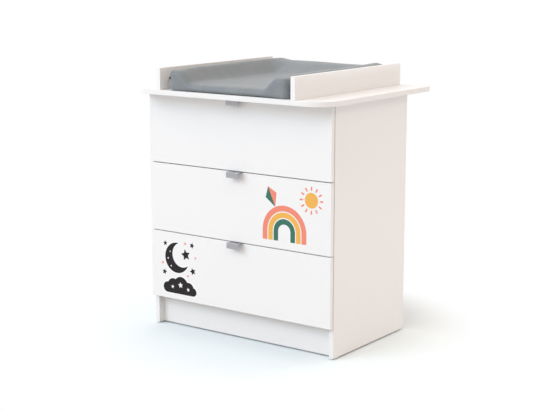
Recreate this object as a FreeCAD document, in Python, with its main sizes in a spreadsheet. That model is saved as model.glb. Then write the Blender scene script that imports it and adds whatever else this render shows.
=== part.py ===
"""Changing dresser: a chest of three drawers under a changing board with side guards and a mat.

Millimetres. +Z is up and the drawer fronts face -Y, so +X is the right side seen from the front.
The origin is on the floor, under the middle of the changing board.
"""
import math
import os

import FreeCAD
import Part
import Sketcher
from FreeCAD import Placement, Rotation, Vector

# ---------------------------------------------------------------- driving dimensions
SIZES = (
    # changing board and its guards
    ("top_width", 850, "changing board, side to side"),
    ("top_depth", 680, "changing board, front to back"),
    ("top_thickness", 18, "changing board"),
    ("top_corner", 83, "radius of its two front corners"),
    ("top_overhang", 74, "board's front edge to the faces of the drawers"),
    ("guard_spacing", 564, "between the inner faces of the guards"),
    ("guard_thickness", 18, "side guard"),
    ("guard_height", 78, "side guard above the board"),
    ("edge_round", 0.8, "eased edge of a coated board"),
    ("top_edge_round", 1.2, "eased edge of the changing board"),
    # carcass
    ("carcass_width", 800, "over the side panels"),
    ("carcass_height", 877, "floor to the underside of the changing board"),
    ("panel_depth", 469, "side panel, front to back"),
    ("panel_thickness", 18, "side panel"),
    ("inner_thickness", 16, "bottom panel, plinth and top rails"),
    ("back_thickness", 3, "back panel"),
    ("back_inset", 3, "back panel inside the outline of the sides"),
    ("plinth_height", 100, "floor to the bottom panel"),
    ("plinth_setback", 27, "plinth behind the side panels' front edges"),
    ("rail_width", 80, "top rail"),
    ("rail_setback", 8, "front rail behind the side panels' front edges"),
    ("glide_height", 5, "glide under a side panel"),
    ("glide_radius", 8, "glide under a side panel"),
    # drawers
    ("front_thickness", 16, "drawer front"),
    ("front_height", 251, "drawer front"),
    ("front_gap", 3.2, "between two drawer fronts"),
    ("front_bottom", 113, "floor to the lowest drawer front"),
    ("front_inset", 2, "drawer front inside the sides of the carcass"),
    ("front_clearance", 2, "drawer front to the side panels' front edges"),
    ("box_side", 12, "drawer side and back"),
    ("box_depth", 450, "drawer side, front to back"),
    ("box_height", 170, "drawer side"),
    ("box_lift", 22, "drawer side above the lower edge of its front"),
    ("base_thickness", 3, "drawer base"),
    ("base_lift", 10, "drawer base above the lower edge of the drawer side"),
    ("groove_depth", 5, "groove for the drawer base"),
    # edge pulls
    ("pull_width", 54, "edge pull"),
    ("pull_reach", 25, "edge pull in front of the drawer front"),
    ("pull_drop", 20, "front leg of the edge pull"),
    ("pull_tab", 24, "rear tab of the edge pull, behind the drawer front"),
    ("pull_steel", 1.5, "sheet of the edge pull"),
    ("pull_bend", 1.9, "outer radius of its bends"),
    # roller runners
    ("runner_gap", 12.5, "drawer side to side panel"),
    ("runner_length", 445, "cabinet and drawer runner"),
    ("runner_setback", 3, "cabinet runner behind the side panel's front edge"),
    ("runner_steel", 1.2, "sheet of the runners"),
    ("channel_height", 26.8, "cabinet runner"),
    ("channel_flange", 10, "cabinet runner, out from the side panel"),
    ("channel_lift", 2, "cabinet runner above the drawer side's lower edge"),
    ("web_height", 28, "drawer runner"),
    ("lip_reach", 10, "upper lip of the drawer runner, out from the drawer side"),
    ("shelf_width", 12, "lower flange of the drawer runner, under the drawer side"),
    ("roller_radius", 9.5, "roller"),
    ("roller_width", 6.5, "roller"),
    ("roller_play", 0.3, "roller to its neighbours"),
    ("roller_inset", 15, "roller from the end of its runner"),
    ("axle_radius", 2.5, "roller axle"),
    ("axle_fit", 0.05, "radial clearance of a roller on its axle"),
    ("axle_head", 4, "radius of the axle's head"),
    ("axle_head_thickness", 0.8, "head of the axle"),
    # fittings
    ("fit_slip", 0.1, "radial clearance of a fitting in its bore"),
    ("cam_radius", 7.5, "cam lock of the carcass"),
    ("cam_depth", 12.5, "cam lock of the carcass"),
    ("cam_inset", 34, "cam lock from the end of its board"),
    ("small_cam_radius", 6, "cam lock of a drawer"),
    ("small_cam_depth", 10, "cam lock of a drawer"),
    ("small_cam_inset", 24, "cam lock of a drawer, from the front end of the side"),
    ("bolt_radius", 2.5, "cam bolt"),
    ("bolt_bite", 11, "cam bolt in the board that it is screwed into"),
    ("bolt_reach", 5, "tip of the cam bolt from the axis of its cam"),
    ("dowel_radius", 4, "dowel of the carcass"),
    ("dowel_bite", 10, "dowel in the board that it is set into"),
    ("dowel_tail", 20, "dowel in the end of the other board"),
    ("small_dowel_radius", 3, "dowel of a drawer"),
    ("small_dowel_tail", 15, "dowel in the end of a drawer side"),
    # mat
    ("mat_width", 524, "mat, side to side"),
    ("mat_length", 676, "mat, front to back"),
    ("mat_shift", 12, "mat to the right of the board's middle"),
    ("mat_floor", 27, "hollow of the mat above the board"),
    ("mat_ridge", 73, "raised sides of the mat above the board"),
    ("mat_rim", 69, "raised back of the mat, at its middle"),
    ("mat_left_ridge", 42, "top of the raised left side"),
    ("mat_right_ridge", 64, "top of the raised right side"),
    ("mat_left_slope", 50, "slope from the raised left side to the hollow"),
    ("mat_right_slope", 46, "slope from the raised right side to the hollow"),
    ("mat_ramp_length", 140, "slope from the hollow to the raised back"),
    ("mat_rim_width", 45, "top of the raised back"),
    ("mat_waist", 3, "how far each side of the mat is drawn in halfway along"),
    ("mat_corner", 18, "rounding of the mat's corners, seen from above"),
    ("mat_edge", 11, "rounding of the mat's upper edges"),
    ("mat_sole_round", 3, "rounding of the mat's lower edges"),
    ("mat_shoulder_round", 14, "rounding where the raised side turns down to the hollow"),
    ("mat_foot_round", 24, "rounding where that slope meets the hollow"),
    ("cover_thickness", 1.2, "coated cover of the mat"),
    ("cover_play", 0.3, "cover to foam"),
)
DRAWERS = ("bottom", "middle", "top")
SIDES = (("left", -1), ("right", 1))
# how near two measures are to count as one, and the least volume that a bore or groove takes away
TOUCH = 0.01
SMALLEST_CUT = 1

doc = FreeCAD.newDocument("changing_dresser")
sheet = doc.addObject("Spreadsheet::Sheet", "sizes")
for row, (alias, number, note) in enumerate(SIZES, start=1):
    sheet.set(f"A{row}", note)
    sheet.set(f"B{row}", str(number))
    sheet.setAlias(f"B{row}", alias)
doc.recompute()


class Size:
    """A length with the sheet expression that it comes from, so that a formula is written once."""

    def __init__(self, value, text):
        self.value = value
        self.text = text

    def __add__(self, other):
        other = size(other)
        return Size(self.value + other.value, f"({self.text} + {other.text})")

    def __sub__(self, other):
        other = size(other)
        return Size(self.value - other.value, f"({self.text} - {other.text})")

    def __mul__(self, other):
        other = size(other)
        return Size(self.value * other.value, f"({self.text} * {other.text})")

    def __truediv__(self, other):
        other = size(other)
        return Size(self.value / other.value, f"({self.text} / {other.text})")

    def __neg__(self):
        return Size(-self.value, f"(0 - {self.text})")

    __radd__ = __add__
    __rmul__ = __mul__


def size(number):
    """A Size as it is, or a plain number as a Size."""
    return number if isinstance(number, Size) else Size(number, f"({number})")


def cell(alias):
    return Size(float(sheet.get(alias)), f"sizes.{alias}")


def bind(thing, name, length):
    thing.setExpression(name, size(length).text)


def bind_place(thing, at):
    for letter, length in zip("xyz", at):
        bind(thing, f"Placement.Base.{letter}", length)


# ---------------------------------------------------------------- sketches and solid features
PLANE_ACROSS = {"X": "YZ_Plane", "Y": "XZ_Plane", "Z": "XY_Plane"}
nodes = []


def new_body(label, at=(0, 0, 0)):
    body = doc.addObject("PartDesign::Body", label)
    body.Label = label
    bind_place(body, at)
    nodes.append(body)
    return body


def new_sketch(body, axis, level):
    """A sketch across an axis of the body, at a level along that axis."""
    sketch = body.newObject("Sketcher::SketchObject", f"{body.Name}_sketch")
    plane = next(item for item in body.Origin.OriginFeatures if item.Role == PLANE_ACROSS[axis])
    sketch.AttachmentSupport = [(plane, "")]
    sketch.MapMode = "FlatFace"
    # the plane across Y looks along -Y
    bind(sketch, "AttachmentOffset.Base.z", -size(level) if axis == "Y" else level)
    return sketch


def hold(sketch, kind, where, length):
    """Adds a dimension to the sketch and binds it to the sheet."""
    index = sketch.addConstraint(Sketcher.Constraint(kind, *where, size(length).value))
    name = f"{kind}_{index}"
    sketch.renameConstraint(index, name)
    bind(sketch, f"Constraints.{name}", length)


def hold_point(sketch, line, end, across, up):
    hold(sketch, "DistanceX", (-1, 1, line, end), across)
    hold(sketch, "DistanceY", (-1, 1, line, end), up)


def draw_outline(sketch, corners):
    """A closed outline of straight lines through the corners."""
    first = sketch.GeometryCount
    spots = [Vector(size(across).value, size(up).value, 0) for across, up in corners]
    for start, end in zip(spots, spots[1:] + spots[:1]):
        sketch.addGeometry(Part.LineSegment(start, end), False)
    for step, (across, up) in enumerate(corners):
        following = first + (step + 1) % len(corners)
        sketch.addConstraint(Sketcher.Constraint("Coincident", first + step, 2, following, 1))
        hold_point(sketch, first + step, 1, across, up)


def draw_circles(sketch, centres, radius):
    for across, up in centres:
        middle = Vector(size(across).value, size(up).value, 0)
        circle = Part.Circle(middle, Vector(0, 0, 1), size(radius).value)
        index = sketch.addGeometry(circle, False)
        hold_point(sketch, index, 3, across, up)
        hold(sketch, "Radius", (index,), radius)


def in_order(one, other):
    return sorted((size(one), size(other)), key=lambda item: item.value)


def pad_sketch(body, axis, sketch, low, high):
    pad = body.newObject("PartDesign::Pad", f"{body.Name}_pad")
    pad.Profile = sketch
    pad.Reversed = axis == "Y"
    bind(pad, "Length", high - low)
    body.Tip = pad
    return pad


def add_outline(body, axis, one, other, corners):
    low, high = in_order(one, other)
    sketch = new_sketch(body, axis, low)
    draw_outline(sketch, corners)
    return pad_sketch(body, axis, sketch, low, high)


def add_rod(body, axis, one, other, centre, radius):
    low, high = in_order(one, other)
    sketch = new_sketch(body, axis, low)
    draw_circles(sketch, (centre,), radius)
    return pad_sketch(body, axis, sketch, low, high)


def cut_sketch(body, axis, sketch, low, high):
    """Removes what lies between low and high: a pocket runs against its sketch's normal."""
    pocket = body.newObject("PartDesign::Pocket", f"{body.Name}_pocket")
    pocket.Profile = sketch
    bind(pocket, "Length", high - low)
    body.Tip = pocket


def bore(body, axis, one, other, centres, radius):
    low, high = in_order(one, other)
    sketch = new_sketch(body, axis, low if axis == "Y" else high)
    draw_circles(sketch, centres, radius)
    cut_sketch(body, axis, sketch, low, high)


def groove(body, axis, one, other, corners):
    low, high = in_order(one, other)
    sketch = new_sketch(body, axis, low if axis == "Y" else high)
    draw_outline(sketch, corners)
    cut_sketch(body, axis, sketch, low, high)


def rectangle(across, up):
    (left, right), (low, high) = across, up
    return [(left, low), (right, low), (right, high), (left, high)]


def round_edges(body, radius, chosen=lambda edge: True):
    doc.recompute()
    base = body.Tip
    names = [f"Edge{index}" for index, edge in enumerate(base.Shape.Edges, 1) if chosen(edge)]
    fillet = body.newObject("PartDesign::Fillet", f"{body.Name}_fillet")
    fillet.Base = (base, names)
    bind(fillet, "Radius", radius)
    body.Tip = fillet


def board(label, axis, spans, at=(0, 0, 0), eased=False):
    """A flat board, thin along the axis, between the (low, high) spans along X, Y and Z."""
    body = new_body(label, at)
    across = dict(zip("XYZ", spans))
    low, high = across.pop(axis)
    add_outline(body, axis, low, high, rectangle(*across.values()))
    if eased:
        round_edges(body, edge_round)
    return body


# ---------------------------------------------------------------- fittings from primitives
DIRECTIONS = {"+X": Vector(1, 0, 0), "-X": Vector(-1, 0, 0), "+Y": Vector(0, 1, 0),
              "-Y": Vector(0, -1, 0), "+Z": Vector(0, 0, 1), "-Z": Vector(0, 0, -1)}
BOLT_ROOM = 0.8
MOUTH_OVERSHOOT = 1
DRIVER_RADIUS = 2.5
DRIVER_DEPTH = 2.5


def rod(name, at, direction, radius, length):
    """A cylinder from a point along a direction."""
    cylinder = doc.addObject("Part::Cylinder", name)
    cylinder.Placement = Placement(Vector(), Rotation(Vector(0, 0, 1), DIRECTIONS[direction]))
    bind(cylinder, "Radius", radius)
    bind(cylinder, "Height", length)
    bind_place(cylinder, at)
    return cylinder


def fuse(name, *pieces):
    whole = doc.addObject("Part::MultiFuse", name)
    whole.Shapes = list(pieces)
    return whole


def cut(name, base, tool):
    rest = doc.addObject("Part::Cut", name)
    rest.Base = base
    rest.Tool = tool
    return rest


def group(label, pieces):
    """One node of separate solids."""
    compound = doc.addObject("Part::Compound", label)
    compound.Label = label
    compound.Links = pieces
    nodes.append(compound)


def moved(at, direction, length):
    """The point a length further along a direction."""
    step = DIRECTIONS[direction]
    return tuple(where + part * length for where, part in zip(map(size, at), step))


def opposite(direction):
    return {"+": "-", "-": "+"}[direction[0]] + direction[1]


def headed_screw(name, at, direction, shank, length, head, head_thickness):
    """A screw that goes in along the direction, with its head on the surface at the point."""
    return fuse(f"{name}_screw",
                rod(f"{name}_shank", at, direction, shank, length),
                rod(f"{name}_head", at, opposite(direction), head, head_thickness))


def cam_lock(name, at, direction, radius, depth, board_middle, bolt_side):
    """A cam housing let into a board, with a driver slot and a mouth for the bolt's tip."""
    housing = rod(f"{name}_housing", at, direction, radius, depth)
    mouth = rod(f"{name}_mouth", board_middle, bolt_side, bolt_radius + BOLT_ROOM,
                radius + MOUTH_OVERSHOOT)
    slot = rod(f"{name}_slot", at, direction, DRIVER_RADIUS, DRIVER_DEPTH)
    return cut(f"{name}_cam", cut(f"{name}_body", housing, mouth), slot)


# ---------------------------------------------------------------- sizes and places from the sheet
top_width = cell("top_width")
top_depth = cell("top_depth")
top_thickness = cell("top_thickness")
top_corner = cell("top_corner")
edge_round = cell("edge_round")
guard_thickness = cell("guard_thickness")
panel_thickness = cell("panel_thickness")
inner_thickness = cell("inner_thickness")
back_thickness = cell("back_thickness")
front_thickness = cell("front_thickness")
box_side = cell("box_side")
runner_steel = cell("runner_steel")
roller_width = cell("roller_width")
roller_play = cell("roller_play")
roller_radius = cell("roller_radius")
axle_radius = cell("axle_radius")
fit_slip = cell("fit_slip")
bolt_radius = cell("bolt_radius")
bolt_bite = cell("bolt_bite")
bolt_reach = cell("bolt_reach")
cam_inset = cell("cam_inset")
cam_radius = cell("cam_radius")
cam_depth = cell("cam_depth")
dowel_radius = cell("dowel_radius")
dowel_bite = cell("dowel_bite")
dowel_tail = cell("dowel_tail")

FACE_Y = cell("top_overhang") - top_depth / 2
EDGE_Y = FACE_Y + front_thickness + cell("front_clearance")
REAR_Y = EDGE_Y + cell("panel_depth")
OUTER_X = cell("carcass_width") / 2
INNER_X = OUTER_X - panel_thickness
PANEL_MIDDLE_X = OUTER_X - panel_thickness / 2
UNDERSIDE_Z = cell("carcass_height")
TOP_Z = UNDERSIDE_Z + top_thickness
FOOT_Z = cell("glide_height")
BOTTOM_Z = cell("plinth_height")
BOTTOM_MIDDLE_Z = BOTTOM_Z + inner_thickness / 2
RAIL_Z = UNDERSIDE_Z - inner_thickness
RAIL_MIDDLE_Z = UNDERSIDE_Z - inner_thickness / 2
PLINTH_Y = EDGE_Y + cell("plinth_setback")
PLINTH_MIDDLE_Y = PLINTH_Y + inner_thickness / 2
PLINTH_MIDDLE_Z = (FOOT_Z + BOTTOM_Z) / 2
RAIL_WIDTH = cell("rail_width")
FRONT_RAIL_Y = EDGE_Y + cell("rail_setback")
REAR_RAIL_Y = REAR_Y - RAIL_WIDTH
RAIL_MIDDLES_Y = (FRONT_RAIL_Y + RAIL_WIDTH / 2, REAR_RAIL_Y + RAIL_WIDTH / 2)
GUARD_X = cell("guard_spacing") / 2 + guard_thickness / 2
BOX_X = INNER_X - cell("runner_gap")
RUNNER_Y = EDGE_Y + cell("runner_setback")
DRAWER_PITCH = cell("front_height") + cell("front_gap")
BOX_Z = cell("box_lift")

# where the fittings of the carcass sit
JOINT_HALF_PITCH = 20
BOTTOM_CAM_INSET = 60
BOTTOM_DOWEL_INSET = 100
BOTTOM_CAMS_Y = (PLINTH_Y + BOTTOM_CAM_INSET, REAR_Y - BOTTOM_CAM_INSET)
BOTTOM_DOWELS_Y = (PLINTH_Y + BOTTOM_DOWEL_INSET, REAR_Y - BOTTOM_DOWEL_INSET)
RAIL_CAMS_Y = tuple(middle - JOINT_HALF_PITCH for middle in RAIL_MIDDLES_Y)
RAIL_DOWELS_Y = tuple(middle + JOINT_HALF_PITCH for middle in RAIL_MIDDLES_Y)
PLINTH_DOWEL_LIFT = 25
PLINTH_DOWEL_Z = PLINTH_MIDDLE_Z + PLINTH_DOWEL_LIFT
TOP_SCREW_X = 250
TOP_SCREW_RADIUS = 2
TOP_SCREW_BITE = 12
GUARD_SCREWS_Y = (-290, 0, 290)
GUARD_SCREW_BITE = 38
COUNTERBORE = 3
SCREW_HEAD = 4
SCREW_HEAD_THICKNESS = 2.4
GLIDE_INSET = 30
GLIDES_Y = (EDGE_Y + GLIDE_INSET, REAR_Y - GLIDE_INSET)
GLIDE_NAIL_RADIUS = 1.4
GLIDE_NAIL = 15
NAIL_RADIUS = 0.8
NAIL_HEAD = 2.2
NAIL_HEAD_THICKNESS = 0.8
NAIL = 18
SIDE_NAILS_Z = (45, 200, 360, 520, 680, 840)
CROSS_NAILS_X = (-240, 0, 240)
RUNNER_SCREWS = (60, 380)
RUNNER_SCREW_RADIUS = 2.5
RUNNER_SCREW_BITE = 11
RUNNER_SCREW_HEAD = 3.6
RUNNER_SCREW_HEAD_THICKNESS = 1.3
RUNNER_SCREW_LIFT = 13


def drawer_z(drawer):
    """Lower edge of a drawer's front above the floor."""
    return cell("front_bottom") + DRAWERS.index(drawer) * DRAWER_PITCH


# the joints of the carcass, as (y, z) on the inner face of a side panel
CARCASS_BOLTS = ([(y, BOTTOM_MIDDLE_Z) for y in BOTTOM_CAMS_Y]
                 + [(y, RAIL_MIDDLE_Z) for y in RAIL_CAMS_Y]
                 + [(PLINTH_MIDDLE_Y, PLINTH_MIDDLE_Z)])
CARCASS_DOWELS = ([(y, BOTTOM_MIDDLE_Z) for y in BOTTOM_DOWELS_Y]
                  + [(y, RAIL_MIDDLE_Z) for y in RAIL_DOWELS_Y]
                  + [(PLINTH_MIDDLE_Y, PLINTH_DOWEL_Z)])


# ---------------------------------------------------------------- carcass
def side_panel(name, side):
    body = board(f"side_panel_{name}", "X",
                 ((side * OUTER_X, side * INNER_X), (EDGE_Y, REAR_Y), (FOOT_Z, UNDERSIDE_Z)),
                 eased=True)
    inner = side * INNER_X
    screws = [(RUNNER_Y + along, drawer_z(drawer) + BOX_Z + RUNNER_SCREW_LIFT)
              for drawer in DRAWERS for along in RUNNER_SCREWS]
    bore(body, "X", inner, inner + side * (bolt_bite + fit_slip), CARCASS_BOLTS,
         bolt_radius + fit_slip)
    bore(body, "X", inner, inner + side * (dowel_bite + fit_slip), CARCASS_DOWELS,
         dowel_radius + fit_slip)
    bore(body, "X", inner, inner + side * (RUNNER_SCREW_BITE + fit_slip), screws,
         RUNNER_SCREW_RADIUS + fit_slip)
    middle = side * PANEL_MIDDLE_X
    bore(body, "Z", FOOT_Z, FOOT_Z + GLIDE_NAIL + fit_slip, [(middle, y) for y in GLIDES_Y],
         GLIDE_NAIL_RADIUS + fit_slip)
    bore(body, "Y", REAR_Y - NAIL - fit_slip, REAR_Y, [(middle, z) for z in SIDE_NAILS_Z],
         NAIL_RADIUS + fit_slip)


def bore_board_ends(body, bolts, dowels):
    """Bores in both ends of a board between the side panels, for cam bolts and dowels."""
    for _, side in SIDES:
        end = side * INNER_X
        bore(body, "X", end, end - side * cam_inset, bolts, bolt_radius + BOLT_ROOM)
        bore(body, "X", end, end - side * (dowel_tail + fit_slip), dowels,
             dowel_radius + fit_slip)


def cam_places():
    return [side * (INNER_X - cam_inset) for _, side in SIDES]


def bottom_panel():
    body = board("bottom_panel", "Z", ((-INNER_X, INNER_X), (PLINTH_Y, REAR_Y),
                                       (BOTTOM_Z, BOTTOM_Z + inner_thickness)))
    bore_board_ends(body, [(y, BOTTOM_MIDDLE_Z) for y in BOTTOM_CAMS_Y],
                    [(y, BOTTOM_MIDDLE_Z) for y in BOTTOM_DOWELS_Y])
    bore(body, "Z", BOTTOM_Z, BOTTOM_Z + cam_depth + fit_slip,
         [(x, y) for x in cam_places() for y in BOTTOM_CAMS_Y], cam_radius + fit_slip)
    bore(body, "Y", REAR_Y - NAIL - fit_slip, REAR_Y,
         [(x, BOTTOM_MIDDLE_Z) for x in CROSS_NAILS_X], NAIL_RADIUS + fit_slip)


def plinth():
    body = board("plinth", "Y", ((-INNER_X, INNER_X), (PLINTH_Y, PLINTH_Y + inner_thickness),
                                 (FOOT_Z, BOTTOM_Z)))
    bore_board_ends(body, [(PLINTH_MIDDLE_Y, PLINTH_MIDDLE_Z)],
                    [(PLINTH_MIDDLE_Y, PLINTH_DOWEL_Z)])
    rear = PLINTH_Y + inner_thickness
    bore(body, "Y", rear - cam_depth - fit_slip, rear,
         [(x, PLINTH_MIDDLE_Z) for x in cam_places()], cam_radius + fit_slip)


def top_rail(name, start, cam_y, dowel_y, middle_y):
    body = board(f"top_rail_{name}", "Z", ((-INNER_X, INNER_X), (start, start + RAIL_WIDTH),
                                           (RAIL_Z, UNDERSIDE_Z)))
    bore_board_ends(body, [(cam_y, RAIL_MIDDLE_Z)], [(dowel_y, RAIL_MIDDLE_Z)])
    bore(body, "Z", RAIL_Z, RAIL_Z + cam_depth + fit_slip, [(x, cam_y) for x in cam_places()],
         cam_radius + fit_slip)
    bore(body, "Z", RAIL_Z, UNDERSIDE_Z, [(-TOP_SCREW_X, middle_y), (TOP_SCREW_X, middle_y)],
         TOP_SCREW_RADIUS + fit_slip)
    if name == "rear":
        bore(body, "Y", REAR_Y - NAIL - fit_slip, REAR_Y,
             [(x, RAIL_MIDDLE_Z) for x in CROSS_NAILS_X], NAIL_RADIUS + fit_slip)


def back_nails():
    """Where the nails go through the back panel, as (x, z)."""
    return ([(side * PANEL_MIDDLE_X, z) for _, side in SIDES for z in SIDE_NAILS_Z]
            + [(x, z) for x in CROSS_NAILS_X for z in (BOTTOM_MIDDLE_Z, RAIL_MIDDLE_Z)])


def back_panel():
    inset = cell("back_inset")
    body = board("back_panel", "Y", ((inset - OUTER_X, OUTER_X - inset),
                                     (REAR_Y, REAR_Y + back_thickness),
                                     (FOOT_Z + inset, UNDERSIDE_Z - inset)))
    bore(body, "Y", REAR_Y, REAR_Y + back_thickness, back_nails(), NAIL_RADIUS + fit_slip)


def guard_screws():
    """Where the screws go up into the guards, as (x, y)."""
    return [(side * GUARD_X, y) for _, side in SIDES for y in GUARD_SCREWS_Y]


def top_screws():
    """Where the screws go up into the changing board, as (x, y)."""
    return [(side * TOP_SCREW_X, y) for _, side in SIDES for y in RAIL_MIDDLES_Y]


def draw_top_outline(sketch):
    """A rectangle with its two front corners rounded."""
    half = (top_width / 2).value
    front = -(top_depth / 2).value
    radius = top_corner.value
    lines = [(Vector(-half, -front, 0), Vector(-half, front + radius, 0)),
             (Vector(radius - half, front, 0), Vector(half - radius, front, 0)),
             (Vector(half, front + radius, 0), Vector(half, -front, 0)),
             (Vector(half, -front, 0), Vector(-half, -front, 0))]
    arcs = [(Vector(radius - half, front + radius, 0), math.pi, 1.5 * math.pi),
            (Vector(half - radius, front + radius, 0), 1.5 * math.pi, 2 * math.pi)]
    for start, end in lines:
        sketch.addGeometry(Part.LineSegment(start, end), False)
    for centre, start, end in arcs:
        circle = Part.Circle(centre, Vector(0, 0, 1), radius)
        sketch.addGeometry(Part.ArcOfCircle(circle, start, end), False)
    left, front_line, right, rear, left_arc, right_arc = range(6)
    for one, one_end, other, other_end in ((left, 2, left_arc, 1), (front_line, 1, left_arc, 2),
                                           (front_line, 2, right_arc, 1), (right, 1, right_arc, 2)):
        sketch.addConstraint(Sketcher.Constraint("Tangent", one, one_end, other, other_end))
    for one, one_end, other, other_end in ((right, 2, rear, 1), (rear, 2, left, 1)):
        sketch.addConstraint(Sketcher.Constraint("Coincident", one, one_end, other, other_end))
    for line in (left, right):
        sketch.addConstraint(Sketcher.Constraint("Vertical", line))
    sketch.addConstraint(Sketcher.Constraint("Horizontal", front_line))
    sketch.addConstraint(Sketcher.Constraint("Equal", left_arc, right_arc))
    hold(sketch, "Radius", (left_arc,), top_corner)
    hold_point(sketch, left, 1, -top_width / 2, top_depth / 2)
    hold_point(sketch, rear, 1, top_width / 2, top_depth / 2)
    hold(sketch, "DistanceY", (-1, 1, front_line, 1), -top_depth / 2)


def changing_top():
    body = new_body("changing_top")
    sketch = new_sketch(body, "Z", UNDERSIDE_Z)
    draw_top_outline(sketch)
    pad_sketch(body, "Z", sketch, UNDERSIDE_Z, TOP_Z)
    round_edges(body, cell("top_edge_round"))
    bore(body, "Z", UNDERSIDE_Z, UNDERSIDE_Z + TOP_SCREW_BITE + fit_slip, top_screws(),
         TOP_SCREW_RADIUS + fit_slip)
    bore(body, "Z", UNDERSIDE_Z, TOP_Z, guard_screws(), TOP_SCREW_RADIUS + fit_slip)
    bore(body, "Z", UNDERSIDE_Z, UNDERSIDE_Z + COUNTERBORE, guard_screws(),
         SCREW_HEAD + fit_slip)


def side_guard(name, side):
    inner = side * (GUARD_X - guard_thickness / 2)
    body = board(f"side_guard_{name}", "X",
                 ((inner, inner + side * guard_thickness), (-top_depth / 2, top_depth / 2),
                  (TOP_Z, TOP_Z + cell("guard_height"))), eased=True)
    bore(body, "Z", TOP_Z, TOP_Z + GUARD_SCREW_BITE + fit_slip,
         [(side * GUARD_X, y) for y in GUARD_SCREWS_Y], TOP_SCREW_RADIUS + fit_slip)


def carcass_fittings():
    cams = []
    for side_name, side in SIDES:
        cam_x = side * (INNER_X - cam_inset)
        outward = "+X" if side > 0 else "-X"
        places = ([(y, BOTTOM_Z, BOTTOM_MIDDLE_Z) for y in BOTTOM_CAMS_Y]
                  + [(y, RAIL_Z, RAIL_MIDDLE_Z) for y in RAIL_CAMS_Y])
        for index, (y, low, middle) in enumerate(places):
            cams.append(cam_lock(f"{side_name}_{index}", (cam_x, y, low), "+Z", cam_radius,
                                 cam_depth, (cam_x, y, middle), outward))
        rear = PLINTH_Y + inner_thickness
        cams.append(cam_lock(f"{side_name}_plinth", (cam_x, rear, PLINTH_MIDDLE_Z), "-Y",
                             cam_radius, cam_depth,
                             (cam_x, PLINTH_MIDDLE_Y, PLINTH_MIDDLE_Z), outward))
        tip = side * (INNER_X - cam_inset + bolt_reach)
        cams += [rod(f"{side_name}_bolt", (tip, y, z), outward, bolt_radius,
                     cam_inset - bolt_reach + bolt_bite) for y, z in CARCASS_BOLTS]
    group("cam_fittings", cams)
    group("wood_dowels", [
        rod("dowel", (side * (INNER_X - dowel_tail), y, z), "+X" if side > 0 else "-X",
            dowel_radius, dowel_tail + dowel_bite)
        for _, side in SIDES for y, z in CARCASS_DOWELS])
    group("guard_screws", [
        headed_screw("guard", (x, y, UNDERSIDE_Z + COUNTERBORE), "+Z", TOP_SCREW_RADIUS,
                     top_thickness - COUNTERBORE + GUARD_SCREW_BITE, SCREW_HEAD,
                     SCREW_HEAD_THICKNESS) for x, y in guard_screws()])
    group("top_screws", [
        headed_screw("top", (x, y, RAIL_Z), "+Z", TOP_SCREW_RADIUS,
                     inner_thickness + TOP_SCREW_BITE, SCREW_HEAD, SCREW_HEAD_THICKNESS)
        for x, y in top_screws()])
    group("back_panel_nails", [
        headed_screw("nail", (x, REAR_Y + back_thickness, z), "-Y", NAIL_RADIUS,
                     back_thickness + NAIL, NAIL_HEAD, NAIL_HEAD_THICKNESS)
        for x, z in back_nails()])
    group("floor_glides", [
        fuse("glide", rod("glide_disc", (side * PANEL_MIDDLE_X, y, 0), "+Z",
                          cell("glide_radius"), FOOT_Z),
             rod("glide_nail", (side * PANEL_MIDDLE_X, y, FOOT_Z), "+Z", GLIDE_NAIL_RADIUS,
                 GLIDE_NAIL))
        for _, side in SIDES for y in GLIDES_Y])
    group("cabinet_runner_screws", [
        headed_screw("runner", (side * (INNER_X - runner_steel), RUNNER_Y + along,
                                drawer_z(drawer) + BOX_Z + RUNNER_SCREW_LIFT),
                     "+X" if side > 0 else "-X", RUNNER_SCREW_RADIUS,
                     runner_steel + RUNNER_SCREW_BITE, RUNNER_SCREW_HEAD,
                     RUNNER_SCREW_HEAD_THICKNESS)
        for drawer in DRAWERS for _, side in SIDES for along in RUNNER_SCREWS])


# ---------------------------------------------------------------- roller runners
AXLE_LENGTH = roller_width + roller_play * 2
LIP_TOP = BOX_Z + cell("web_height") - runner_steel
LIP_UNDERSIDE = LIP_TOP - runner_steel
CHANNEL_Z = BOX_Z + cell("channel_lift")
FRONT_ROLLER_Z = LIP_UNDERSIDE - roller_play - roller_radius
REAR_ROLLER_Z = CHANNEL_Z + runner_steel + roller_play + roller_radius
FRONT_ROLLER_Y = RUNNER_Y + cell("roller_inset")
DRAWER_RUNNER_GAP = 1
DRAWER_RUNNER_Y = FACE_Y + front_thickness + DRAWER_RUNNER_GAP
REAR_ROLLER_Y = DRAWER_RUNNER_Y + cell("runner_length") - cell("roller_inset")


def add_axle(body, start, side, centre):
    """A riveted axle with a flat head, pointing to the side from the runner's web."""
    end = start + side * AXLE_LENGTH
    add_rod(body, "X", start, end, centre, axle_radius)
    add_rod(body, "X", end, end + side * cell("axle_head_thickness"), centre, cell("axle_head"))


def cabinet_runner(drawer, name, side):
    """A channel on the side panel, open towards the drawer, with an axle at its front."""
    body = new_body(f"cabinet_runner_{drawer}_{name}", (0, 0, drawer_z(drawer)))
    wall = side * INNER_X
    web = side * (INNER_X - runner_steel)
    lip = side * (INNER_X - cell("channel_flange"))
    low = CHANNEL_Z
    high = CHANNEL_Z + cell("channel_height")
    add_outline(body, "Y", RUNNER_Y, RUNNER_Y + cell("runner_length"), [
        (wall, low), (wall, high), (lip, high), (lip, high - runner_steel),
        (web, high - runner_steel), (web, low + runner_steel), (lip, low + runner_steel),
        (lip, low)])
    bore(body, "X", wall, web, [(RUNNER_Y + along, BOX_Z + RUNNER_SCREW_LIFT)
                                for along in RUNNER_SCREWS], RUNNER_SCREW_RADIUS + fit_slip)
    add_axle(body, web, -side, (FRONT_ROLLER_Y, FRONT_ROLLER_Z))


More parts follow.
